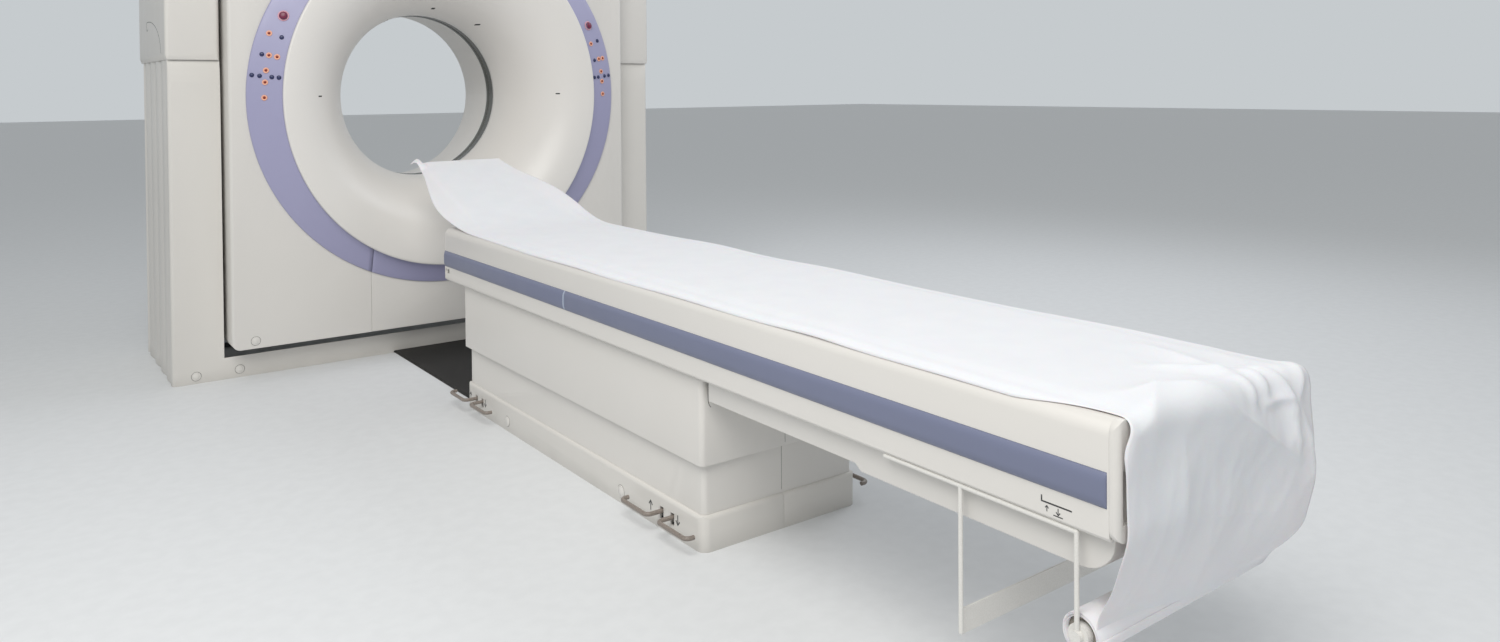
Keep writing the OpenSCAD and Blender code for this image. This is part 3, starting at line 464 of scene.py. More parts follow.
rows = funnel_rows()
funnel = surface("funnel_moulding", around_bore(rows[..., 0], rows[..., 1], ANGLES), funnel_white,
                 "tilt", close_i=True, close_j=True)
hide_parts("front_funnel")
print("funnel faces:", len(funnel.data.polygons))

# %% Seal behind the window
SEAL_GAP = 0.2
SEAL = [(0.0, 0.0), (0.6, 0.4), (0.9, 1.0), (0.9, 30.0), (0.6, 31.5), (0.0, 32.0), (-1.0, 32.0), (-1.0, 0.0)]
seal = np.array([[BORE_R - inward * MM, window_hi.y + (SEAL_GAP + deep) * MM] for inward, deep in SEAL])
hoop = surface("window_seal_hoop", around_bore(seal[:, :1], seal[:, 1:], ANGLES), smoked,
               "tilt", close_i=True, close_j=True)
print("hoop faces:", len(hoop.data.polygons))

# %% [markdown]
# ## The coloured ring
# The lavender ring is a shallow cone with a rounded outer edge. Its lowest part belongs to a removable
# panel, so it is cut by two upright planes. Each part is a profile carried about the bore, with the end
# angle at each radius chosen so that the cut stays upright.

# %% Ring in two parts
def ring_profile(n=14):
    """Radius and y of the ring's closed cross-section: outer wall, rounded edge, cone, inner edge, back."""
    turn = np.radians(np.linspace(0, 72, 6))
    edge = 5 * MM
    outer = np.stack([RING_R - edge * (1 - np.cos(turn)),
                      ring_face(RING_R) + edge * (1 - np.sin(turn))], -1)
    cone_r = np.linspace(RING_R - edge, RING_IN_R, n)[1:]
    cone = np.stack([cone_r, ring_face(cone_r)], -1)
    off_panel = PANEL_Y - 0.2 * MM
    back = np.array([[RING_IN_R, ring_face(RING_IN_R) + 6 * MM], [RING_R - 20 * MM, off_panel],
                     [RING_R, off_panel]])
    return np.concatenate([outer, cone, back])


def ring_part(name, lower, gap=0.9 * MM):
    """One part of the ring: at each radius it ends where x is the seam, less or plus the gap."""
    profile = ring_profile()
    half = np.arcsin((SEAM_X + (-gap if lower else gap)) / profile[:, 0])
    start = np.where(lower, -np.pi / 2 - half, -np.pi / 2 + half)
    end = np.where(lower, -np.pi / 2 + half, 1.5 * np.pi - half)
    t = np.linspace(0, 1, 60 if lower else 220)[:, None]
    grid = with_poles(around_bore(profile[:, 0], profile[:, 1], start + (end - start) * t))
    return surface(name, grid, lavender, "tilt", close_j=True)


for name, node, lower in (("ring_upper_moulding", "ring_trim", False),
                          ("ring_lower_moulding", "ring_trim_lower", True)):
    part = ring_part(name, lower)
    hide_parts(node)
    print(name, "faces:", len(part.data.polygons))

# %% [markdown]
# ## Small round pieces
# Lenses, keys, buttons and screw caps are all turned shapes: a profile of radius and height spun about
# its own axis, standing on some surface. One function spins many of them into one mesh, given the
# point and the outward direction of each.

# %% Turned pieces
def turned(name, profile_mm, seats, material, body, sides=28):
    """Spins a profile (radius, height), in millimetres, about each seat's outward direction. A seat is a
    point and a direction; the spun rows of one seat are a closed grid, and the seats share one mesh."""
    profile = np.array(profile_mm) * MM
    around = np.linspace(0, 2 * np.pi, sides, endpoint=False)
    local = np.stack([profile[:, :1] * np.cos(around), profile[:, :1] * np.sin(around),
                      profile[:, 1:] + 0 * around], -1)
    grids = []
    for point, out in seats:
        out = Vector(out).normalized()
        side = out.orthogonal().normalized()
        grids.append(local @ np.array([side, out.cross(side), out]) + np.array(point))
    return joined(name, grids, material, body)


def ring_seat(x_mm, up_mm, mirror=1):
    """Point and outward direction on the ring's cone at an offset from the bore axis, in millimetres."""
    x, up = x_mm * MM, up_mm * MM
    r = np.hypot(x, up)
    lean = np.arctan(RING_SLOPE)
    out = (mirror * np.sin(lean) * x / r, -np.cos(lean), np.sin(lean) * up / r)
    return (mirror * x, ring_face(r), BORE_Z + up), out


print("the ring's cone leans %.1f degrees" % np.degrees(np.arctan(RING_SLOPE)))


# %% [markdown]
# ## Keys on the ring
# Each side of the ring has a stop button and a cluster of keys. Some are a dark red lens in a peach
# rim. The others are plain dark blue domes. The two clusters differ in which keys are red, as in the
# photograph. Places are millimetres across and up from the bore axis.

# %% Red and blue keys
RED = {-1: [(685, 238), (662, 150), (688, 156), (699, 100), (703, 56), (706, -1)],
       1: [(645, 223), (688, 156), (711, 160), (699, 100), (703, 56), (706, -1)]}
BLUE = {-1: [(645, 223), (711, 160), (658, 73), (681, 75), (720, 80), (745, 83)],
        1: [(685, 238), (662, 150), (658, 73), (681, 75), (720, 80), (745, 83)]}
RIM_PROFILE = [(0, 0.2), (10.6, 0.2), (10.6, 1.6), (10.1, 2.5), (9.0, 2.9), (5.6, 2.7), (5.1, 1.8), (0, 1.8)]
LENS_PROFILE = [(0, 1.6), (5.0, 1.6), (5.0, 2.6), (4.4, 3.5), (3.0, 4.1), (1.4, 4.3), (0, 4.4)]
DOME_PROFILE = [(0, 0.2), (8.2, 0.2), (8.2, 1.2), (7.2, 1.8), (7.0, 3.0), (6.2, 4.2), (4.2, 5.1),
                (2, 5.4), (0, 5.5)]
for mirror, side in SIDES:
    red = [ring_seat(x, up, mirror) for x, up in RED[mirror]]
    blue = [ring_seat(x, up, mirror) for x, up in BLUE[mirror]]
    lenses = turned("key_lenses_" + side, LENS_PROFILE, red, lens_red, "tilt")
    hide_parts("ring_keys_" + side)
    turned("key_rims_" + side, RIM_PROFILE, red, lens_rim, "tilt")
    turned("key_domes_" + side, DOME_PROFILE, blue, key_blue, "tilt")
    print(side, "side:", len(red), "red keys and", len(blue), "blue ones")

# %% Stop buttons
STOP_AT = (636, 304)
STOP_HEAD = [(0, 4.6), (11.6, 4.6), (12.8, 5.2), (14.0, 7.4), (14.0, 8.6), (12.6, 10.8), (9.4, 12.2),
             (5, 12.9), (0, 13)]
STOP_STEM = [(0, -16), (7.9, -16), (7.9, 5), (0, 5)]
STOP_COLLAR = [(14.6, 0.2), (20.0, 0.2), (20.0, 1.8), (18.8, 3.0), (15.8, 3.0), (14.6, 2.0), (14.6, 0.2)]
for mirror, side in SIDES:
    seat = [ring_seat(*STOP_AT, mirror)]
    head = turned("stop_head_" + side, STOP_HEAD, seat, stop_red, "stop_button_" + side, sides=48)
    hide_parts("stop_" + side)
    turned("stop_stem_" + side, STOP_STEM, seat, lacquer, "stop_button_" + side, sides=32)
    turned("stop_collar_" + side, STOP_COLLAR, seat, stop_rim, "tilt", sides=48)
print("stop buttons placed:", 2)

# %% [markdown]
# ## Laser slots and screw caps
# Five short dark slots in the funnel let the aiming lights out. Round caps hide the fixing screws low
# on the covers. All of them are shallow, so each is a small solid that stands a little off the surface
# that carries it.

# %% Slots in the funnel
SLOTS_MM = [(-505, 1052), (496, 1052), (19, 1422), (213, 1358), (-146, 1370)]
SLOT_OUT = 0.4 * MM


def funnel_y(radius, angle):
    """Y of the funnel at a radius r: its quarter ellipse, with sin = (inner - r) / (inner - bore)."""
    inner = rim_radius(angle) - RIM_ROUND
    sine = np.clip((inner - radius) / (inner - BORE_R), 0, 1)
    return THROAT_Y + (funnel_lo.y - THROAT_Y) * np.sqrt(1 - sine ** 2)


def funnel_slot(name, x_mm, z_mm, width_mm=16, height_mm=5.5):
    """A thin lozenge that follows the funnel: its face lies SLOT_OUT out, its rim on the surface."""
    u, v = np.meshgrid(np.linspace(-1, 1, 15), np.linspace(-1, 1, 7), indexing="ij")
    x = x_mm * MM + u * np.sqrt(1 - 0.35 * v ** 2) * width_mm * MM / 2
    z = z_mm * MM + v * height_mm * MM / 2
    radius, angle = np.hypot(x, z - BORE_Z), np.arctan2(z - BORE_Z, x)
    edge = np.maximum(np.abs(u), np.abs(v)) > 0.99
    y = funnel_y(radius, angle)
    front = np.stack([x, y - np.where(edge, 0.0, SLOT_OUT), z], -1)
    back = front[::-1] * [1, 0, 1] + (y + SUNK)[::-1, :, None] * [0, 1, 0]
    return surface(name, np.concatenate([front, back]), dark_line, "tilt",
                   close_i=True, flip=True)


for i, (x, z) in enumerate(SLOTS_MM):
    funnel_slot("laser_slot_%d" % (i + 1), x, z)
print("laser slots:", len(SLOTS_MM))

# %% Screw caps
CAP_PROFILE = [(0, -0.4), (15.5, -0.4), (15.5, 1.2), (14.6, 2.0), (13.2, 2.2), (12.6, 1.2), (11.8, 2.2),
               (2, 2.6), (0, 2.6)]
CAP_GAP = [(0, -0.3), (17.2, -0.3), (17.2, 0.15), (0, 0.15)]
FRONT = (0, -1, 0)
stand_front_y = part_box("stand_front_cover")[0][1]
plinth_lo, plinth_hi = (Vector(c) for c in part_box("table_plinth"))
CAP_SEATS = {
    "stand": [((x * MM, stand_front_y, z * MM), FRONT)
              for x, z in ((-928, 27), (-782, 30), (782, 30), (928, 27))],
    "tilt": [((x * MM, PANEL_Y, 146 * MM), FRONT) for x in (-742, 742)],
    "base": [((x, y * MM, 31 * MM), (np.sign(x), 0, 0))
             for x in (plinth_lo.x, plinth_hi.x) for y in (-1501, -2215)]}
for group, seats in CAP_SEATS.items():
    body = "tilt" if group == "tilt" else "stand"
    turned("screw_caps_" + group, CAP_PROFILE, seats, ivory, body)
    turned("screw_gaps_" + group, CAP_GAP, seats, seam_grey, body)
print("screw caps:", sum(len(seats) for seats in CAP_SEATS.values()))

# %% [markdown]
# ## Seams and grooves
# Thin dark lines show where two mouldings meet, and a grey line of painted shade stands for a shallow
# groove. Each is a flat bar laid along a line on the surface, with nearly all of its height above it.

# %% Thin lines laid on a surface
def inlay(name, path_mm, out, width_mm, material, body, height_mm=0.35):
    """A flat bar of rectangular section along a polyline: its width lies across the path, and its thin
    side stands out of the surface along out. The section turns with the path's own direction."""
    path = np.array(path_mm, float) * MM
    out = np.array(out, float)
    out /= np.linalg.norm(out)
    along = np.gradient(path, axis=0)
    along /= np.linalg.norm(along, axis=1)[:, None]
    across = np.cross(along, out) * width_mm * MM / 2
    lift = out * height_mm * MM
    ring = np.stack([path - across - 0.3 * lift, path - across + lift, path + across + lift,
                     path + across - 0.3 * lift], 1)
    piece = surface(name, with_poles(ring), material, body, close_j=True)
    recalculate(piece.data)
    return piece


def arc_points(centre, radii, start_deg, end_deg, n):
    """Points (y, z) of an ellipse arc about a centre (y, z) between two angles in degrees."""
    a = np.radians(np.linspace(start_deg, end_deg, n))
    return np.array(centre) + np.array(radii) * np.stack([np.cos(a), np.sin(a)], -1)


print("line helpers ready")


# %% [markdown]
# ## The latch grooves on the towers
# A shallow groove rises from the front lip of each tower cap in a wide arc and ends in a small hook,
# where a cover latch sits. It is drawn as a thin grey line of painted shade on the outer side of the cap.

# %% Latch grooves
LATCH_ARC = arc_points((140, 1215), (345, 132), 180, 88, 24)
LATCH_HOOK = arc_points((152, 1330), (21, 17), 90, -150, 14)
cap_x = Vector(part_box("tower_cap_left")[0]).x
sweep = np.concatenate([LATCH_ARC, LATCH_HOOK])
for mirror, side in SIDES:
    path = np.column_stack([np.full(len(sweep), -mirror * cap_x / MM), sweep])
    # The grey line is painted shade in the groove
    inlay("latch_groove_" + side, path, (mirror, 0, 0), 2.2, ink_and_groove_shade, "stand", 0.25)
print("latch grooves of", len(sweep), "points")

# %% Seams on the table's end faces
upper_lo = Vector(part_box("upper_cover")[0])
low_lo, low_hi = (Vector(c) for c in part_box("lift_cover_low"))
SEAMS = [("seam_upper_foot", upper_lo.y, -1, 212, 400, "lift"),
         ("seam_low_foot", low_lo.y, -1, 92, 200, "cover_low"),
         ("seam_low_head", low_hi.y, 1, 92, 200, "cover_low")]
for name, y, out, z0, z1, body in SEAMS:
    path = [(0, y / MM, z) for z in np.linspace(z0, z1, 4)]
    inlay(name, path, (0, out, 0), 1.3, seam_grey, body, 0.15)
print("seams:", len(SEAMS))

# %% Gap where the under pan meets the pedestal
pan_lo, pan_hi = (Vector(c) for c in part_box("under_pan"))
pan_end = pan_hi.y / MM - 1.4
for mirror, side, x in ((-1, "left", pan_lo.x), (1, "right", pan_hi.x)):
    bend = arc_points((pan_end - 14, pan_lo.z / MM + 15), (14, 14), 0, -75, 10)
    upright = [[pan_end, z] for z in np.linspace(pan_hi.z / MM - 1, pan_lo.z / MM + 19, 6)]
    gap = np.concatenate([upright, bend])
    path = np.column_stack([np.full(len(gap), x / MM), gap])
    inlay("pan_gap_" + side, path, (mirror, 0, 0), 2.2, dark_line, "lift", 0.2)
print("pan gaps end at y = %.0f mm" % pan_end)

# %% [markdown]
# ## Bumper strips
# The blue-grey strips along the table are hollow PVC bumpers. Their face bulges, so it is bright along
# the top and darker below. The section is flat in the middle with round shoulders, and it dies away
# over the last centimetre of each length. A pale strip with the same section, a little prouder, covers
# the joint of two lengths.

# %% Bulged strips
stripe_lo, stripe_hi = (Vector(c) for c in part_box("stripe_trims"))
JOINT_Y = -1951 * MM
LENGTH_GAP = 1 * MM  # from the joint to each length's end
COVER_HALF = 2.6 * MM


def strip_grid(side, y0, y1, bulge_mm, ends_mm):
    """Closed rows along Y: the section's height over the panel is bulge (1 - v^4), with v from -1 to 1
    up the strip. Towards an end it shrinks as a quarter circle does, and a pole row closes the rest."""
    v = np.linspace(-1, 1, 21)
    near = np.array([0, 0.05, 0.2, 0.5, 1.0]) * ends_mm * MM
    y = np.concatenate([y0 + near, (y1 - near)[::-1]])
    q = np.minimum(y - y0, y1 - y) / (ends_mm * MM)
    out = bulge_mm * MM * np.sqrt(1 - 0.9 * (1 - q) ** 2)[:, None] * (1 - v ** 4)
    mid, half_height = (stripe_lo.z + stripe_hi.z) / 2, (stripe_hi.z - stripe_lo.z) / 2
    x = side * (out - side_lo.x)
    return with_poles(np.stack([x, y[:, None] + 0 * out, mid + half_height * v + 0 * out], -1))


lengths = [strip_grid(side, y0, y1, 7, 10) for side in (-1, 1)
           for y0, y1 in ((stripe_lo.y, JOINT_Y - LENGTH_GAP), (JOINT_Y + LENGTH_GAP, stripe_hi.y))]
strips = joined("bumper_strips", lengths, bumper, "lift")
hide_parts("stripe_trims")
joints = [strip_grid(side, JOINT_Y - COVER_HALF, JOINT_Y + COVER_HALF, 7.6, 0.6) for side in (-1, 1)]
joined("bumper_joints", joints, bumper_joint, "lift")
print("bumper lengths:", len(lengths))

# %% [markdown]
# ## Printed marks
# Next to each pedal pair two arrows show up and down, and the table's side has a small drawing of a
# bed with arrows. They are flat plates a fifth of a millimetre thick, cut to simple outlines.

# %% Arrows and the bed drawing
PLATE_DEPTHS = (-0.05 * MM, 0.2 * MM)


def plate(name, outlines_mm, x, side, body):
    """Flat plates on a side face at x: each outline is a closed polygon in (y, z)."""
    verts, faces, count = [], [], 0
    for outline in outlines_mm:
        outline = np.array(outline, float) * MM
        n = len(outline)
        for depth in PLATE_DEPTHS:
            verts.append(np.column_stack([np.full(n, x + side * depth), outline]))
        low, high = list(range(count, count + n)), list(range(count + n, count + 2 * n))
        faces += [low[::-1], high]
        faces += [[low[i], low[(i + 1) % n], high[(i + 1) % n], high[i]] for i in range(n)]
        count += 2 * n
    mesh = bpy.data.meshes.new(name)
    mesh.from_pydata(np.concatenate(verts).tolist(), [], faces)
    recalculate(mesh)
    return place(name, mesh, ink_and_groove_shade, body)


def arrow(y, z, height, up=1, line=3.2):
    """Outline of an arrow drawn with a pen of this width: a shaft with an open head of two strokes."""
    h, w, k = height / 2, height * 0.36, line * 0.85
    wing, inner = h - 1.15 * w, h - 2.1 * k
    shape = np.array([(0, h), (w, wing), (w - k, wing - k), (line / 2, inner), (line / 2, -h),
                      (-line / 2, -h), (-line / 2, inner), (k - w, wing - k), (-w, wing)])
    return np.array([y, z]) + shape * [1, up]


for side, x in ((-1, plinth_lo.x), (1, plinth_hi.x)):
    arrows = [arrow(dy - yp, 44, 26, up) for yp in (1278, 2437) for dy, up in ((75, 1), (-48, -1))]
    plate("pedal_arrows_" + ("left" if side < 0 else "right"), arrows, x, side, "stand")
bed = [[(-3552, 437), (-3608, 437), (-3608, 439.4), (-3554.4, 439.4), (-3554.4, 447.5), (-3552, 447.5)],
       [(-3575, 421.6), (-3592, 421.6), (-3592, 423.2), (-3575, 423.2)]]
marks = bed + [arrow(-3563, 429.5, 10, 1, 1.5), arrow(-3583.5, 429, 11.5, -1, 1.5)]
plate("bed_pictogram_left", marks, side_lo.x, -1, "lift")
print("printed outlines:", 2 * len(arrows) + len(marks))

# %% [markdown]
# ## Pads under the paper
# The tabletop carries a thin vinyl pad, and the head rest a wedge cushion. A stuffed piece bulges
# between its edges, so each cross-section is a superellipse. Its small power across keeps the sides
# upright, and the larger one in height crowns the top.

# %% Padded shapes
def superellipse(angle, power_x, power_z):
    """Unit cross-section: x = sign(cos) |cos|^power_x and z = sign(sin) |sin|^power_z."""
    c, s = np.cos(angle), np.sin(angle)
    return np.sign(c) * np.abs(c) ** power_x, np.sign(s) * np.abs(s) ** power_z


def cushion(name, y, half_width, middle, half_height, powers):
    """A closed pad along Y: at each y a superellipse of its half width and half height about its middle."""
    around = np.linspace(0, 2 * np.pi, 56, endpoint=False)
    ux, uz = superellipse(around, *powers)
    grid = np.stack([half_width[:, None] * ux, y[:, None] + 0 * ux,
                     middle[:, None] + half_height[:, None] * uz], -1)
    piece = surface(name, grid, vinyl, "top", close_j=True)
    recalculate(piece.data)
    return piece


def closing(t, sharp):
    """Goes to 0 where t is 0 or 1 and is nearly 1 between: (1 - |2t - 1|^sharp)^(1/2)."""
    return np.sqrt(np.clip(1 - np.abs(2 * t - 1) ** sharp, 0, 1))


PAD_ROWS = 90
t = 0.5 - 0.5 * np.cos(np.pi * np.linspace(0, 1, PAD_ROWS))
y = pad_lo.y + (pad_hi.y - pad_lo.y) * t
wide = closing(t, 120)
pad = cushion("tabletop_pad", y, (pad_hi.x - 0.2 * MM) * wide, np.full(PAD_ROWS, (pad_lo.z + pad_hi.z) / 2),
              (pad_hi.z - pad_lo.z) / 2 * wide, (0.12, 0.55))
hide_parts("table_pad")

print("pad of", len(pad.data.polygons), "faces")

# %% The head rest's wedge
RAMP = np.tan(np.radians(15))
RAMP_START, RAMP_END = -1.2, -0.505
CUSHION_THICK = 29 * MM
CUSHION_OUTLINE = [RAMP_START, -0.545, RAMP_END], [0.178, 0.149, 0.112]  # y and half width of corners


def ramp_z(y):
    """Height of the head rest's top at y: it climbs at 15 degrees from where the flat pad ends."""
    return pad_hi.z + np.maximum(0, y - RAMP_START) * RAMP


first, last = RAMP_START + 12 * MM, RAMP_END - 3 * MM
y = first + (last - first) * t
thick = np.minimum(CUSHION_THICK, ramp_z(y) - pad_hi.z - 0.4 * MM)
narrowing = np.interp(y, *CUSHION_OUTLINE)
wedge = cushion("head_cushion_wedge", y, narrowing * closing(t, 40), ramp_z(y) - 0.8 * MM - thick / 2,
                np.maximum(thick / 2 * closing(t, 30), 0.05 * MM), (0.22, 0.6))
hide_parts("head_cushion")
print("wedge of", len(wedge.data.polygons), "faces")

# %% [markdown]
# ## Examination paper
# The paper is a creped tissue, half a metre wide, off a roll under the foot end. It hangs up to the
# table's edge, turns over it, lies along the pad and climbs the head rest. Its finish is matt, nearly
# white and a little see-through, and its crepe is a fine ripple across its length. The crepe is about
# 1 mm on the real paper and is drawn 2.5 mm wide so that it still shows.

# %% Paper finish
CREPE_MM = 2.5


def crepe_paper(name, colour, shade):
    """Matt paper: cloudy colour on noise 80 mm wide, and a bump of crepe ripples on the sheet's own UV."""
    mat, tree, shader = new_material(name, {"Base Color": srgb(colour), "Roughness": 0.78, "IOR": 1.45,
                                            "Subsurface Weight": 0.12, "Subsurface Scale": 0.004})
    flat = add(tree, "ShaderNodeUVMap", uv_map="flat").outputs["UV"]
    cloud = add(tree, "ShaderNodeTexNoise", {"Vector": flat, "Scale": 12.0, "Detail": 3.0})
    ramp = add(tree, "ShaderNodeValToRGB", {"Fac": cloud.outputs["Fac"]})
    for stop, value in zip(ramp.color_ramp.elements, (shade, colour)):
        stop.color = srgb(value)
    tree.links.new(ramp.outputs["Color"], shader.inputs["Base Color"])
    drawn = add(tree, "ShaderNodeMapping", {"Vector": flat, "Scale": (0.25, 1, 1)})
    crepe = add(tree, "ShaderNodeTexNoise", {"Vector": drawn.outputs["Vector"],
                                             "Scale": 1 / (CREPE_MM * MM), "Detail": 2.0})
    fibre = add(tree, "ShaderNodeTexNoise", {"Vector": flat, "Scale": 60.0, "Detail": 5.0})
    both = add(tree, "ShaderNodeMath", {0: crepe.outputs["Fac"], 1: fibre.outputs["Fac"]}, operation="ADD")
    bump = add(tree, "ShaderNodeBump", {"Height": both.outputs["Value"], "Strength": 0.5,
                                        "Distance": 0.25 * MM})
    tree.links.new(bump.outputs["Normal"], shader.inputs["Normal"])
    return mat


paper = crepe_paper("crepe_paper_white", "#eeebee", "#e7e4e8")
print("crepe drawn", CREPE_MM, "mm wide")

# %% [markdown]
# ## The path of the paper
# Seen from the side the paper is one line: down the head rest, along the pad, over the foot end and
# down to the roll. The line is drawn through a few given points, cut into equal steps, and its
# corners are rounded by averaging neighbours, which is just how paper refuses to make a sharp bend. Where
# it comes off the head rest it bridges the hollow, so a wider average takes over there. Steps stay
# short near the folds and are three times longer between.

# %% Centre line
PAPER_HALF = sheet_hi.x
TIP_Y = sheet_hi.y
EDGE_Y = web_lo.y + 1.5 * MM
SKIN = 1.2 * MM


def fade(x, start, end):
    """0 before start, 1 after end, and a smooth S between: 3t^2 - 2t^3."""
    q = np.clip((x - start) / (end - start), 0, 1)
    return q * q * (3 - 2 * q)


def lengths_along(points):
    """Distance of each point from the first, along the line."""
    return np.concatenate([[0], np.cumsum(np.linalg.norm(np.diff(points, axis=0), axis=1))])


def smooth_line(points, step, reach):
    """Resamples a polyline at equal steps and averages it over a reach, keeping its two ends fixed."""
    points = np.array(points, float)
    way = lengths_along(points)
    s = np.arange(0, way[-1], step)
    line = np.column_stack([np.interp(s, way, points[:, k]) for k in range(points.shape[1])])
    width = max(3, int(reach / step) | 1)
    kernel = np.hanning(width + 2)[1:-1]
    kernel /= kernel.sum()
    padded = np.vstack([2 * line[0] - line[width // 2:0:-1], line,
                        2 * line[-1] - line[-2:-width // 2 - 1:-1]])
    return np.column_stack([np.convolve(padded[:, k], kernel, "valid") for k in range(points.shape[1])])


print("paper %.0f mm wide, its tip at y = %.3f m" % (2 * PAPER_HALF / MM, TIP_Y))

# %% The path in steps
roll_y, roll_z = (roll_lo.y + roll_hi.y) / 2, (roll_lo.z + roll_hi.z) / 2
roll_r = (roll_hi.z - roll_lo.z) / 2
STEP = 4 * MM
corners = [(TIP_Y, ramp_z(TIP_Y) + SKIN), (RAMP_START, pad_hi.z + SKIN), (-2.4, pad_hi.z + SKIN),
           (EDGE_Y + 0.012, pad_hi.z + SKIN), (EDGE_Y, pad_hi.z - 0.014), (EDGE_Y, 0.52),
           (EDGE_Y + 0.004, 0.42), (EDGE_Y + 0.020, 0.33), (roll_y - roll_r - 0.003, roll_z + 0.010),
           (roll_y - roll_r * 0.78, roll_z - roll_r * 0.74), (roll_y - roll_r * 0.3, roll_z - roll_r * 1.0),
           (roll_y + roll_r * 0.2, roll_z - roll_r * 1.03)]
side_view = smooth_line(corners, STEP, 0.05)
bridged = smooth_line(corners, STEP, 0.34)
share = fade(side_view[:, :1], -1.8, -1.5) * (1 - fade(side_view[:, :1], -0.75, -0.62))
side_view = side_view + (bridged - side_view) * share
way = lengths_along(side_view)
near_fold = (side_view[:, 0] < EDGE_Y + 0.36) | (side_view[:, 0] > TIP_Y - 0.12)
kept = near_fold | (np.arange(len(way)) % 3 == 0)
side_view, way = side_view[kept], way[kept]
print("paper length %.2f m in %d steps" % (way[-1], len(way)))

# %% [markdown]
# ## Folds and drape
# Across its width the sheet lies on the pad and on the side panels' round tops, curls at the head end and
# bulges where it hangs. Creases are sharp ridges: the distance of a wavy line from its nearest whole
# number gives a fold with a crisp top. Each group of creases fades out away from the place where the
# real paper is crumpled: the turn over the foot end and the head rest.

# %% Creases and folds
def creases(x, s, count, period, lean, seed):
    """Mean of ridges: each is (1 - 2 |frac - 0.5|)^3 of a line tilted by lean and bent by a slow wave,
    in patches."""
    rng = np.random.default_rng(seed)
    total = 0 * x
    for _ in range(count):
        turn = lean + rng.normal(0, 0.45)
        length = period * rng.uniform(0.7, 1.6)
        bend = 0.35 * np.sin(5 * rng.uniform(0.6, 1.6) * x + 3 * s + rng.uniform(0, 6.3))
        phase = (x * np.cos(turn) + s * np.sin(turn)) / length + bend + rng.uniform(0, 1)
        ridge = 1 - 2 * np.abs(phase - np.floor(phase) - 0.5)
        patch = 0.5 + 0.5 * np.sin(x * rng.uniform(5, 12) + s * rng.uniform(2, 7) + rng.uniform(0, 6.3))
        total = total + ridge ** 3 * patch
    return total / count


def fold_ridge(u, v, start, end, width, height):
    """A ridge along a straight line between two points of the sheet: height (1 - d / width)^2, where d is
    the distance from the line, so its top is sharp and its foot runs out flat. It is lower at its ends."""
    (a_u, a_v), (run_u, run_v) = start, np.subtract(end, start)
    q = np.clip(((u - a_u) * run_u + (v - a_v) * run_v) / (run_u ** 2 + run_v ** 2), 0, 1)
    d = np.hypot(u - a_u - q * run_u, v - a_v - q * run_v)
    ends = np.sin(np.pi * (0.12 + 0.76 * q))
    return height * ends * np.clip(1 - d / width, 0, 1) ** 2


# Folds of the crumpled corner: two ends in metres across and down from the table's edge, the width in
# metres and the height in millimetres.
CORNER_FOLDS = [((-0.15, -0.05), (0.19, 0.15), 0.10, 27), ((0.19, 0.15), (0.165, 0.04), 0.035, 11),
                ((0.11, -0.02), (0.115, 0.035), 0.022, 10), ((0.135, -0.02), (0.185, 0.08), 0.026, 11),
                ((0.06, 0.0), (0.07, 0.04), 0.024, 9), ((0.20, 0.07), (0.245, 0.20), 0.045, 14),
                ((0.14, -0.21), (0.07, 0.0), 0.045, 9), ((0.02, -0.13), (0.09, -0.02), 0.035, 8),
                ((0.10, 0.05), (0.17, 0.045), 0.020, 7), ((-0.12, 0.06), (-0.10, 0.25), 0.07, 6),
                ((0.235, -0.02), (0.19, 0.06), 0.03, 9), ((-0.05, 0.20), (0.18, 0.24), 0.09, 5),
                ((-0.085, -0.045), (-0.225, 0.03), 0.05, 10)]
print("folds at the corner:", len(CORNER_FOLDS))

# %% Zones of the sheet
u, s = np.meshgrid(np.linspace(-1, 1, 97), way, indexing="xy")
y0, z0 = side_view[:, :1] + 0 * u, side_view[:, 1:] + 0 * u
tangent = np.gradient(side_view, axis=0)
tangent /= np.linalg.norm(tangent, axis=1)[:, None]
corner_miss = np.abs(side_view[:, 0] - (EDGE_Y + 0.02)) + np.abs(side_view[:, 1] - pad_hi.z)
end_of_flat = way[np.argmin(corner_miss)]
start_of_flat = way[np.argmin(np.abs(side_view[:, 0] - RAMP_START))]


def beyond(start, end):
    """0 to 1 along the sheet between two distances past the foot corner, in metres."""
    return fade(s, end_of_flat + start, end_of_flat + end)


# Where each effect acts, from 0 to 1
on_head = 1 - fade(s, start_of_flat * 0.55, start_of_flat * 1.15)
tip = 1 - fade(s, 0.0, start_of_flat * 0.8)
hanging = beyond(0.03, 0.12)
wound = fade(s, way[-1] - 0.095, way[-1] - 0.035)
loose = hanging * (1 - wound)
flat_part = (1 - on_head) * (1 - hanging)
near_edge = beyond(-0.30, -0.03) * (1 - beyond(0.16, 0.42))
print("flat part from %.2f to %.2f m along the sheet" % (start_of_flat, end_of_flat))

# %% Where each point lies across
# Near and far are as the camera sees them
TIP_NARROWS = 0.31
NEAR_SHIFT, CORNER_SKEW, HANG_SKEW = 7 * MM, 18 * MM, 5 * MM
half = PAPER_HALF * (1 - TIP_NARROWS * tip ** 1.4)
x = u * half
x = x - NEAR_SHIFT * fade(s, start_of_flat, start_of_flat + 0.6) * (1 - beyond(0, 0.3))
skew = beyond(-0.20, -0.02) * (1 - beyond(-0.01, 0.07))
x = x + (CORNER_SKEW * skew + HANG_SKEW * loose) * (1 - u) / 2
print("width at the tip %.0f mm" % (2 * half[0, 0] / MM))

# %% Over the pad and the side panels
PANEL_ROUND = 26 * MM
HUMP, HUMP_Y, HUMP_LENGTH = 5 * MM, -3.0, 0.12


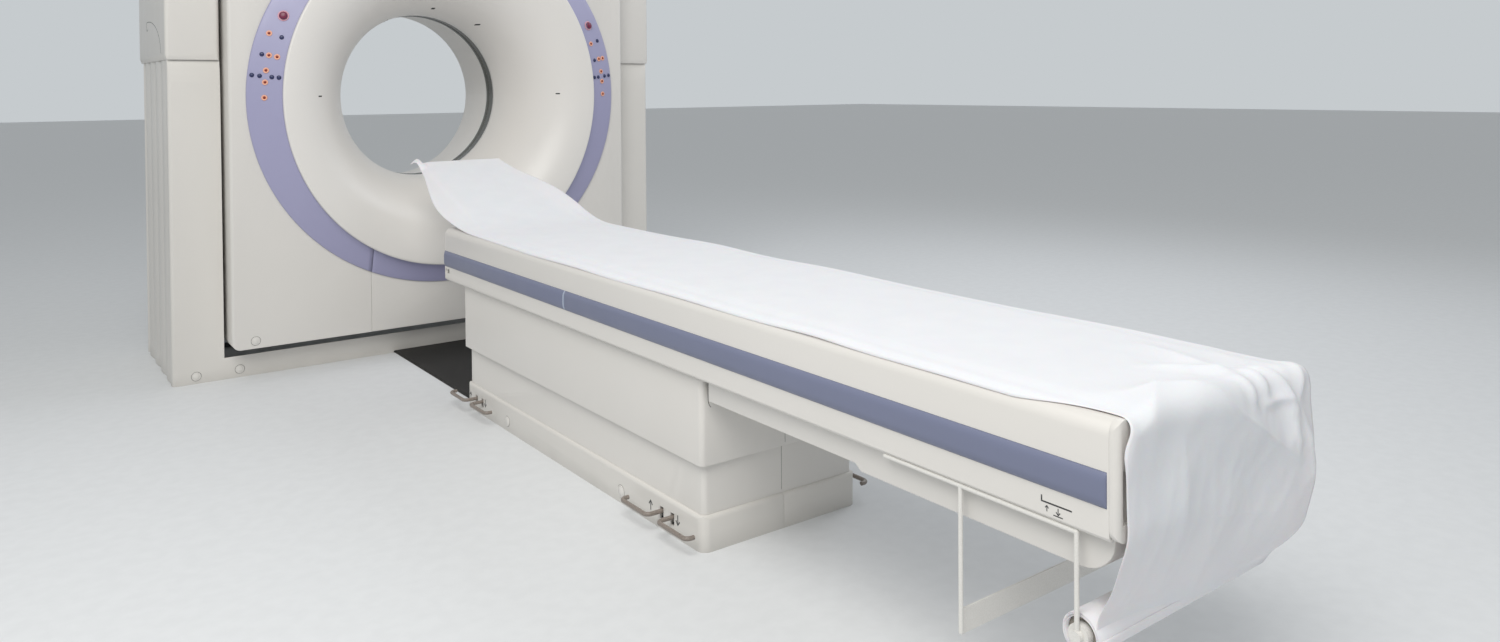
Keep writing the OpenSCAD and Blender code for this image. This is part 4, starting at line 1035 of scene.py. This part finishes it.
def panel_top(x):
    """Height of a side panel's top: flat, then a round down to its outer face."""
    out = np.clip(np.abs(x) - (-side_lo.x - PANEL_ROUND), 0, 0.98 * PANEL_ROUND)
    return side_hi.z - PANEL_ROUND + np.sqrt(PANEL_ROUND ** 2 - out ** 2)


# Its edges wave, and one hump stands on the near edge
past_pad = fade(np.abs(x), pad_hi.x - 3 * MM, pad_hi.x + 40 * MM)
lift = (panel_top(x) + 0.7 * MM - pad_hi.z - SKIN) * past_pad * flat_part
edge_wave = (0.5 + 0.5 * np.sin(s * 9.1 + 1.1)) * (0.5 + 0.5 * np.sin(s * 4.3 + 0.4))
lift += (5.5 + 1.5 * u) * MM * edge_wave * fade(np.abs(u), 0.72, 1.0) * flat_part
lift += HUMP * fade(-u, 0.7, 1.0) * np.exp(-((y0 - HUMP_Y) / HUMP_LENGTH) ** 2)
print("lift over the pad from %.1f to %.1f mm" % (lift.min() / MM, lift.max() / MM))

# %% On the head rest
TIP_CURL, SIDE_DROOP, FAR_RISE = 24 * MM, 34 * MM, 7 * MM
# The near side droops, the far one rises and the near corner of the tip curls up
wedge_half = np.interp(y0, *CUSHION_OUTLINE)
droop = -SIDE_DROOP * fade(-x, wedge_half + 4 * MM, half + 10 * MM) * (1 - 0.6 * tip)
lift += on_head * (droop + FAR_RISE * fade(u, 0.55, 1.0) * fade(s, 0.1, 0.4))
curl = fade(-u, 0.82, 1.0) * (1 - fade(s, 0.0, 0.08))
lift += TIP_CURL * np.sin(0.9 * np.pi * curl)
x = x - TIP_CURL * curl
print("curled points at the tip:", np.count_nonzero(curl))

# %% Where it turns down and hangs
FAR_CORNER_OUT, FAR_BULGE, LOW_BULGE = 22 * MM, 7 * MM, 17 * MM
# The far side bulges, the near side falls in below the cap, and the far corner stands out
lift += loose * (FAR_BULGE * fade(u, -0.6, 1.0) * beyond(0.03, 0.16) + 3 * MM * np.sin(3.3 * u + 14 * s))
below_cap = fade(-z0, -0.44, -0.32)
lift -= loose * fade(-u, -0.2, 1.0) * (8 + 13 * below_cap) * MM
lift += 1.5 * MM * fade(-u, 0.35, 1.0) * beyond(-0.26, -0.07) * (1 - beyond(-0.02, 0.05))
far_corner = fade(u, 0.35, 1.0) * beyond(-0.12, 0) * (1 - beyond(0.04, 0.26))
y0 = y0 - FAR_CORNER_OUT * far_corner
low_belly = fade(-z0, -0.47, -0.37) * (1 - fade(-z0, -0.345, -0.235))
lift += hanging * LOW_BULGE * fade(u, 0.2, 1.0) * low_belly
print("lift with the bulges up to %.1f mm" % (lift.max() / MM))

# %% The sheet with its creases
# Each group of creases has its count, period, lean and seed
fold = creases(x, s, 7, 0.11, 0.9, 4)
crumple = creases(x, s, 9, 0.055, 0.4, 11)
lift += 1.1 * MM * creases(x, s, 5, 0.30, 1.45, 23) * flat_part
lift += near_edge * MM * (6 * fold * fade(u, -0.75, 0.5) + 5 * crumple * fade(u, -0.5, 0.4) + 1.5 * fold)
for start, end, width, height in CORNER_FOLDS:
    lift += MM * fold_ridge(x, s - end_of_flat, start, end, width, height) * (1 - wound)
lift += loose * 7 * MM * creases(x, s, 6, 0.13, 0.25, 31)
lift += on_head * 3.5 * MM * creases(x, s, 6, 0.16, 1.2, 47)

# Lift goes along the side view's normal, which is (tangent z, -tangent y)
sheet_points = np.stack([x, y0 + tangent[:, 1:] * lift, z0 - tangent[:, :1] * lift], -1)
flat_uv = np.stack([u * PAPER_HALF, s], -1)
sheet = surface("paper_sheet_draped", sheet_points, paper, None, uv=flat_uv)
recalculate(sheet.data)
thicken(sheet, 0.35, 1.0)
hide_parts("paper_sheet", "paper_web")
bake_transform(sheet)
print("sheet drawn with", len(sheet.data.polygons), "faces")

# %% [markdown]
# ## The roll
# What is left of the paper is a loose roll on a cardboard core. Its end faces show the turns, so the
# roll is drawn as a real spiral: the radius shrinks by one step at every turn while the width stays.

# %% Paper roll and core
TURNS, STEPS_A_TURN = 6, 48
ROLL_HALF = PAPER_HALF - 3 * MM
CORE_R = 26.3 * MM
CORE_PROFILE = [(18.4, 9), (25.8, 9), (25.8, 489), (18.4, 489), (18.4, 9)]
turn = np.linspace(0, 2 * np.pi * TURNS, STEPS_A_TURN * TURNS)
spiral_r = roll_r - 0.4 * MM - (roll_r - 1.2 * MM - CORE_R) * (turn / turn[-1])
wobble = 1 + 0.008 * np.sin(2 * turn + 0.7) + 0.006 * np.sin(3 * turn)
w, r = np.meshgrid(np.linspace(-1, 1, 9), spiral_r * wobble - 0.2 * MM, indexing="xy")
shift = 1.5 * MM * np.sin(turn * 0.7)[:, None]
roll_points = np.stack([w * ROLL_HALF + shift, roll_y + r * np.cos(np.pi + turn)[:, None],
                        roll_z + r * np.sin(np.pi + turn)[:, None]], -1)
roll = surface("paper_roll_spiral", roll_points, paper, "roll",
               uv=np.stack([w * PAPER_HALF, turn[:, None] * 0.03 + 0 * w], -1))
recalculate(roll.data)
thicken(roll, 0.9, -1.0)
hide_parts("paper_roll")
core_end = (-PAPER_HALF + 1 * MM, roll_y, roll_z)
turned("roll_core", CORE_PROFILE, [(core_end, (1, 0, 0))], board, "roll", 40)
print("roll wound in", TURNS, "turns")

# %% [markdown]
# ## Floor, light and camera
# The object stands on a plain pale floor in soft light: one wide lamp overhead in front, a weaker one
# on the far side, and an even sky. The camera stands where the photographer stood, which was worked out
# from the machine's known sizes: 4.6 m in front of the bore, 1.08 m up, turned 37 degrees to the right,
# with the lens axis above the middle of the frame, so the picture is shifted down.

# %% Floor
FLOOR_HALF = 40.0
floor_mesh = bpy.data.meshes.new("studio_floor")
square = [(x * FLOOR_HALF, y * FLOOR_HALF, 0) for x, y in ((-1, -1), (1, -1), (1, 1), (-1, 1))]
floor_mesh.from_pydata(square, [], [(0, 1, 2, 3)])
floor_mesh.materials.append(grained("studio_floor_pale_grey", "#e3e5e7", "#e0e2e4", 0.60, 40.0, 0.05))
floor = link("studio_floor", floor_mesh)

print("floor half width", FLOOR_HALF, "m")

# %% Sky and lamps
world = bpy.data.worlds.new("studio_sky")
bpy.context.scene.world = world
world.use_nodes = True
sky = world.node_tree
sky.nodes.clear()
lit_sky = add(sky, "ShaderNodeBackground", {"Color": srgb("#f4f7f8"), "Strength": 0.45})
seen_sky = add(sky, "ShaderNodeBackground", {"Color": srgb("#c6cbce"), "Strength": 1.0})
rays = add(sky, "ShaderNodeLightPath")
seen = rays.outputs["Is Camera Ray"]
for kind in ("Is Glossy Ray", "Is Transmission Ray"):
    seen = add(sky, "ShaderNodeMath", {0: seen, 1: rays.outputs[kind]}, operation="MAXIMUM").outputs["Value"]
mix = add(sky, "ShaderNodeMixShader", {"Fac": seen, 1: lit_sky.outputs["Background"],
                                       2: seen_sky.outputs["Background"]})
add(sky, "ShaderNodeOutputWorld", {"Surface": mix.outputs["Shader"]})


def lamp(name, where, target, size, watts, colour):
    """A square area lamp that faces its target."""
    data = bpy.data.lights.new(name, "AREA")
    data.shape, data.size, data.energy = "SQUARE", size, watts
    data.color = srgb(colour)[:3]
    piece = link(name, data)
    piece.location = where
    piece.rotation_euler = (Vector(target) - Vector(where)).to_track_quat("-Z", "Y").to_euler()


lamp("ceiling_lamp", (-2.3, -4.2, 3.9), (0.1, -1.6, 0.6), 3.2, 160, "#fffdf9")
lamp("far_lamp", (3.4, -1.2, 3.6), (0.0, -1.4, 0.6), 2.4, 42, "#f6f9ff")
print("lamps:", len(bpy.data.lights))

# %% Camera
CAMERA_AT = Vector((-1.5660, -4.5519, 1.0782))
YAW, PITCH, ROLL = 0.6435, np.radians(0.954), 0.00735
forward = Vector((np.sin(YAW) * np.cos(PITCH), np.cos(YAW) * np.cos(PITCH), -np.sin(PITCH)))
right = Vector((np.cos(YAW), -np.sin(YAW), 0))
down = forward.cross(right)
turned_right = np.cos(ROLL) * right + np.sin(ROLL) * down
turned_down = np.cos(ROLL) * down - np.sin(ROLL) * right
camera_data = bpy.data.cameras.new("photographer")
camera_data.sensor_width = 36.0
camera_data.lens = 24.84
camera_data.shift_y = -0.145
camera_data.clip_end = 100
camera = link("photographer", camera_data)
columns = Matrix((turned_right, -turned_down, -forward)).transposed().to_4x4()
camera.matrix_world = Matrix.Translation(CAMERA_AT) @ columns
bpy.context.scene.camera = camera
bpy.context.scene.view_settings.view_transform = "Standard"
print("camera looks along", [round(v, 3) for v in forward])

# %% Finish
print("scene finished")
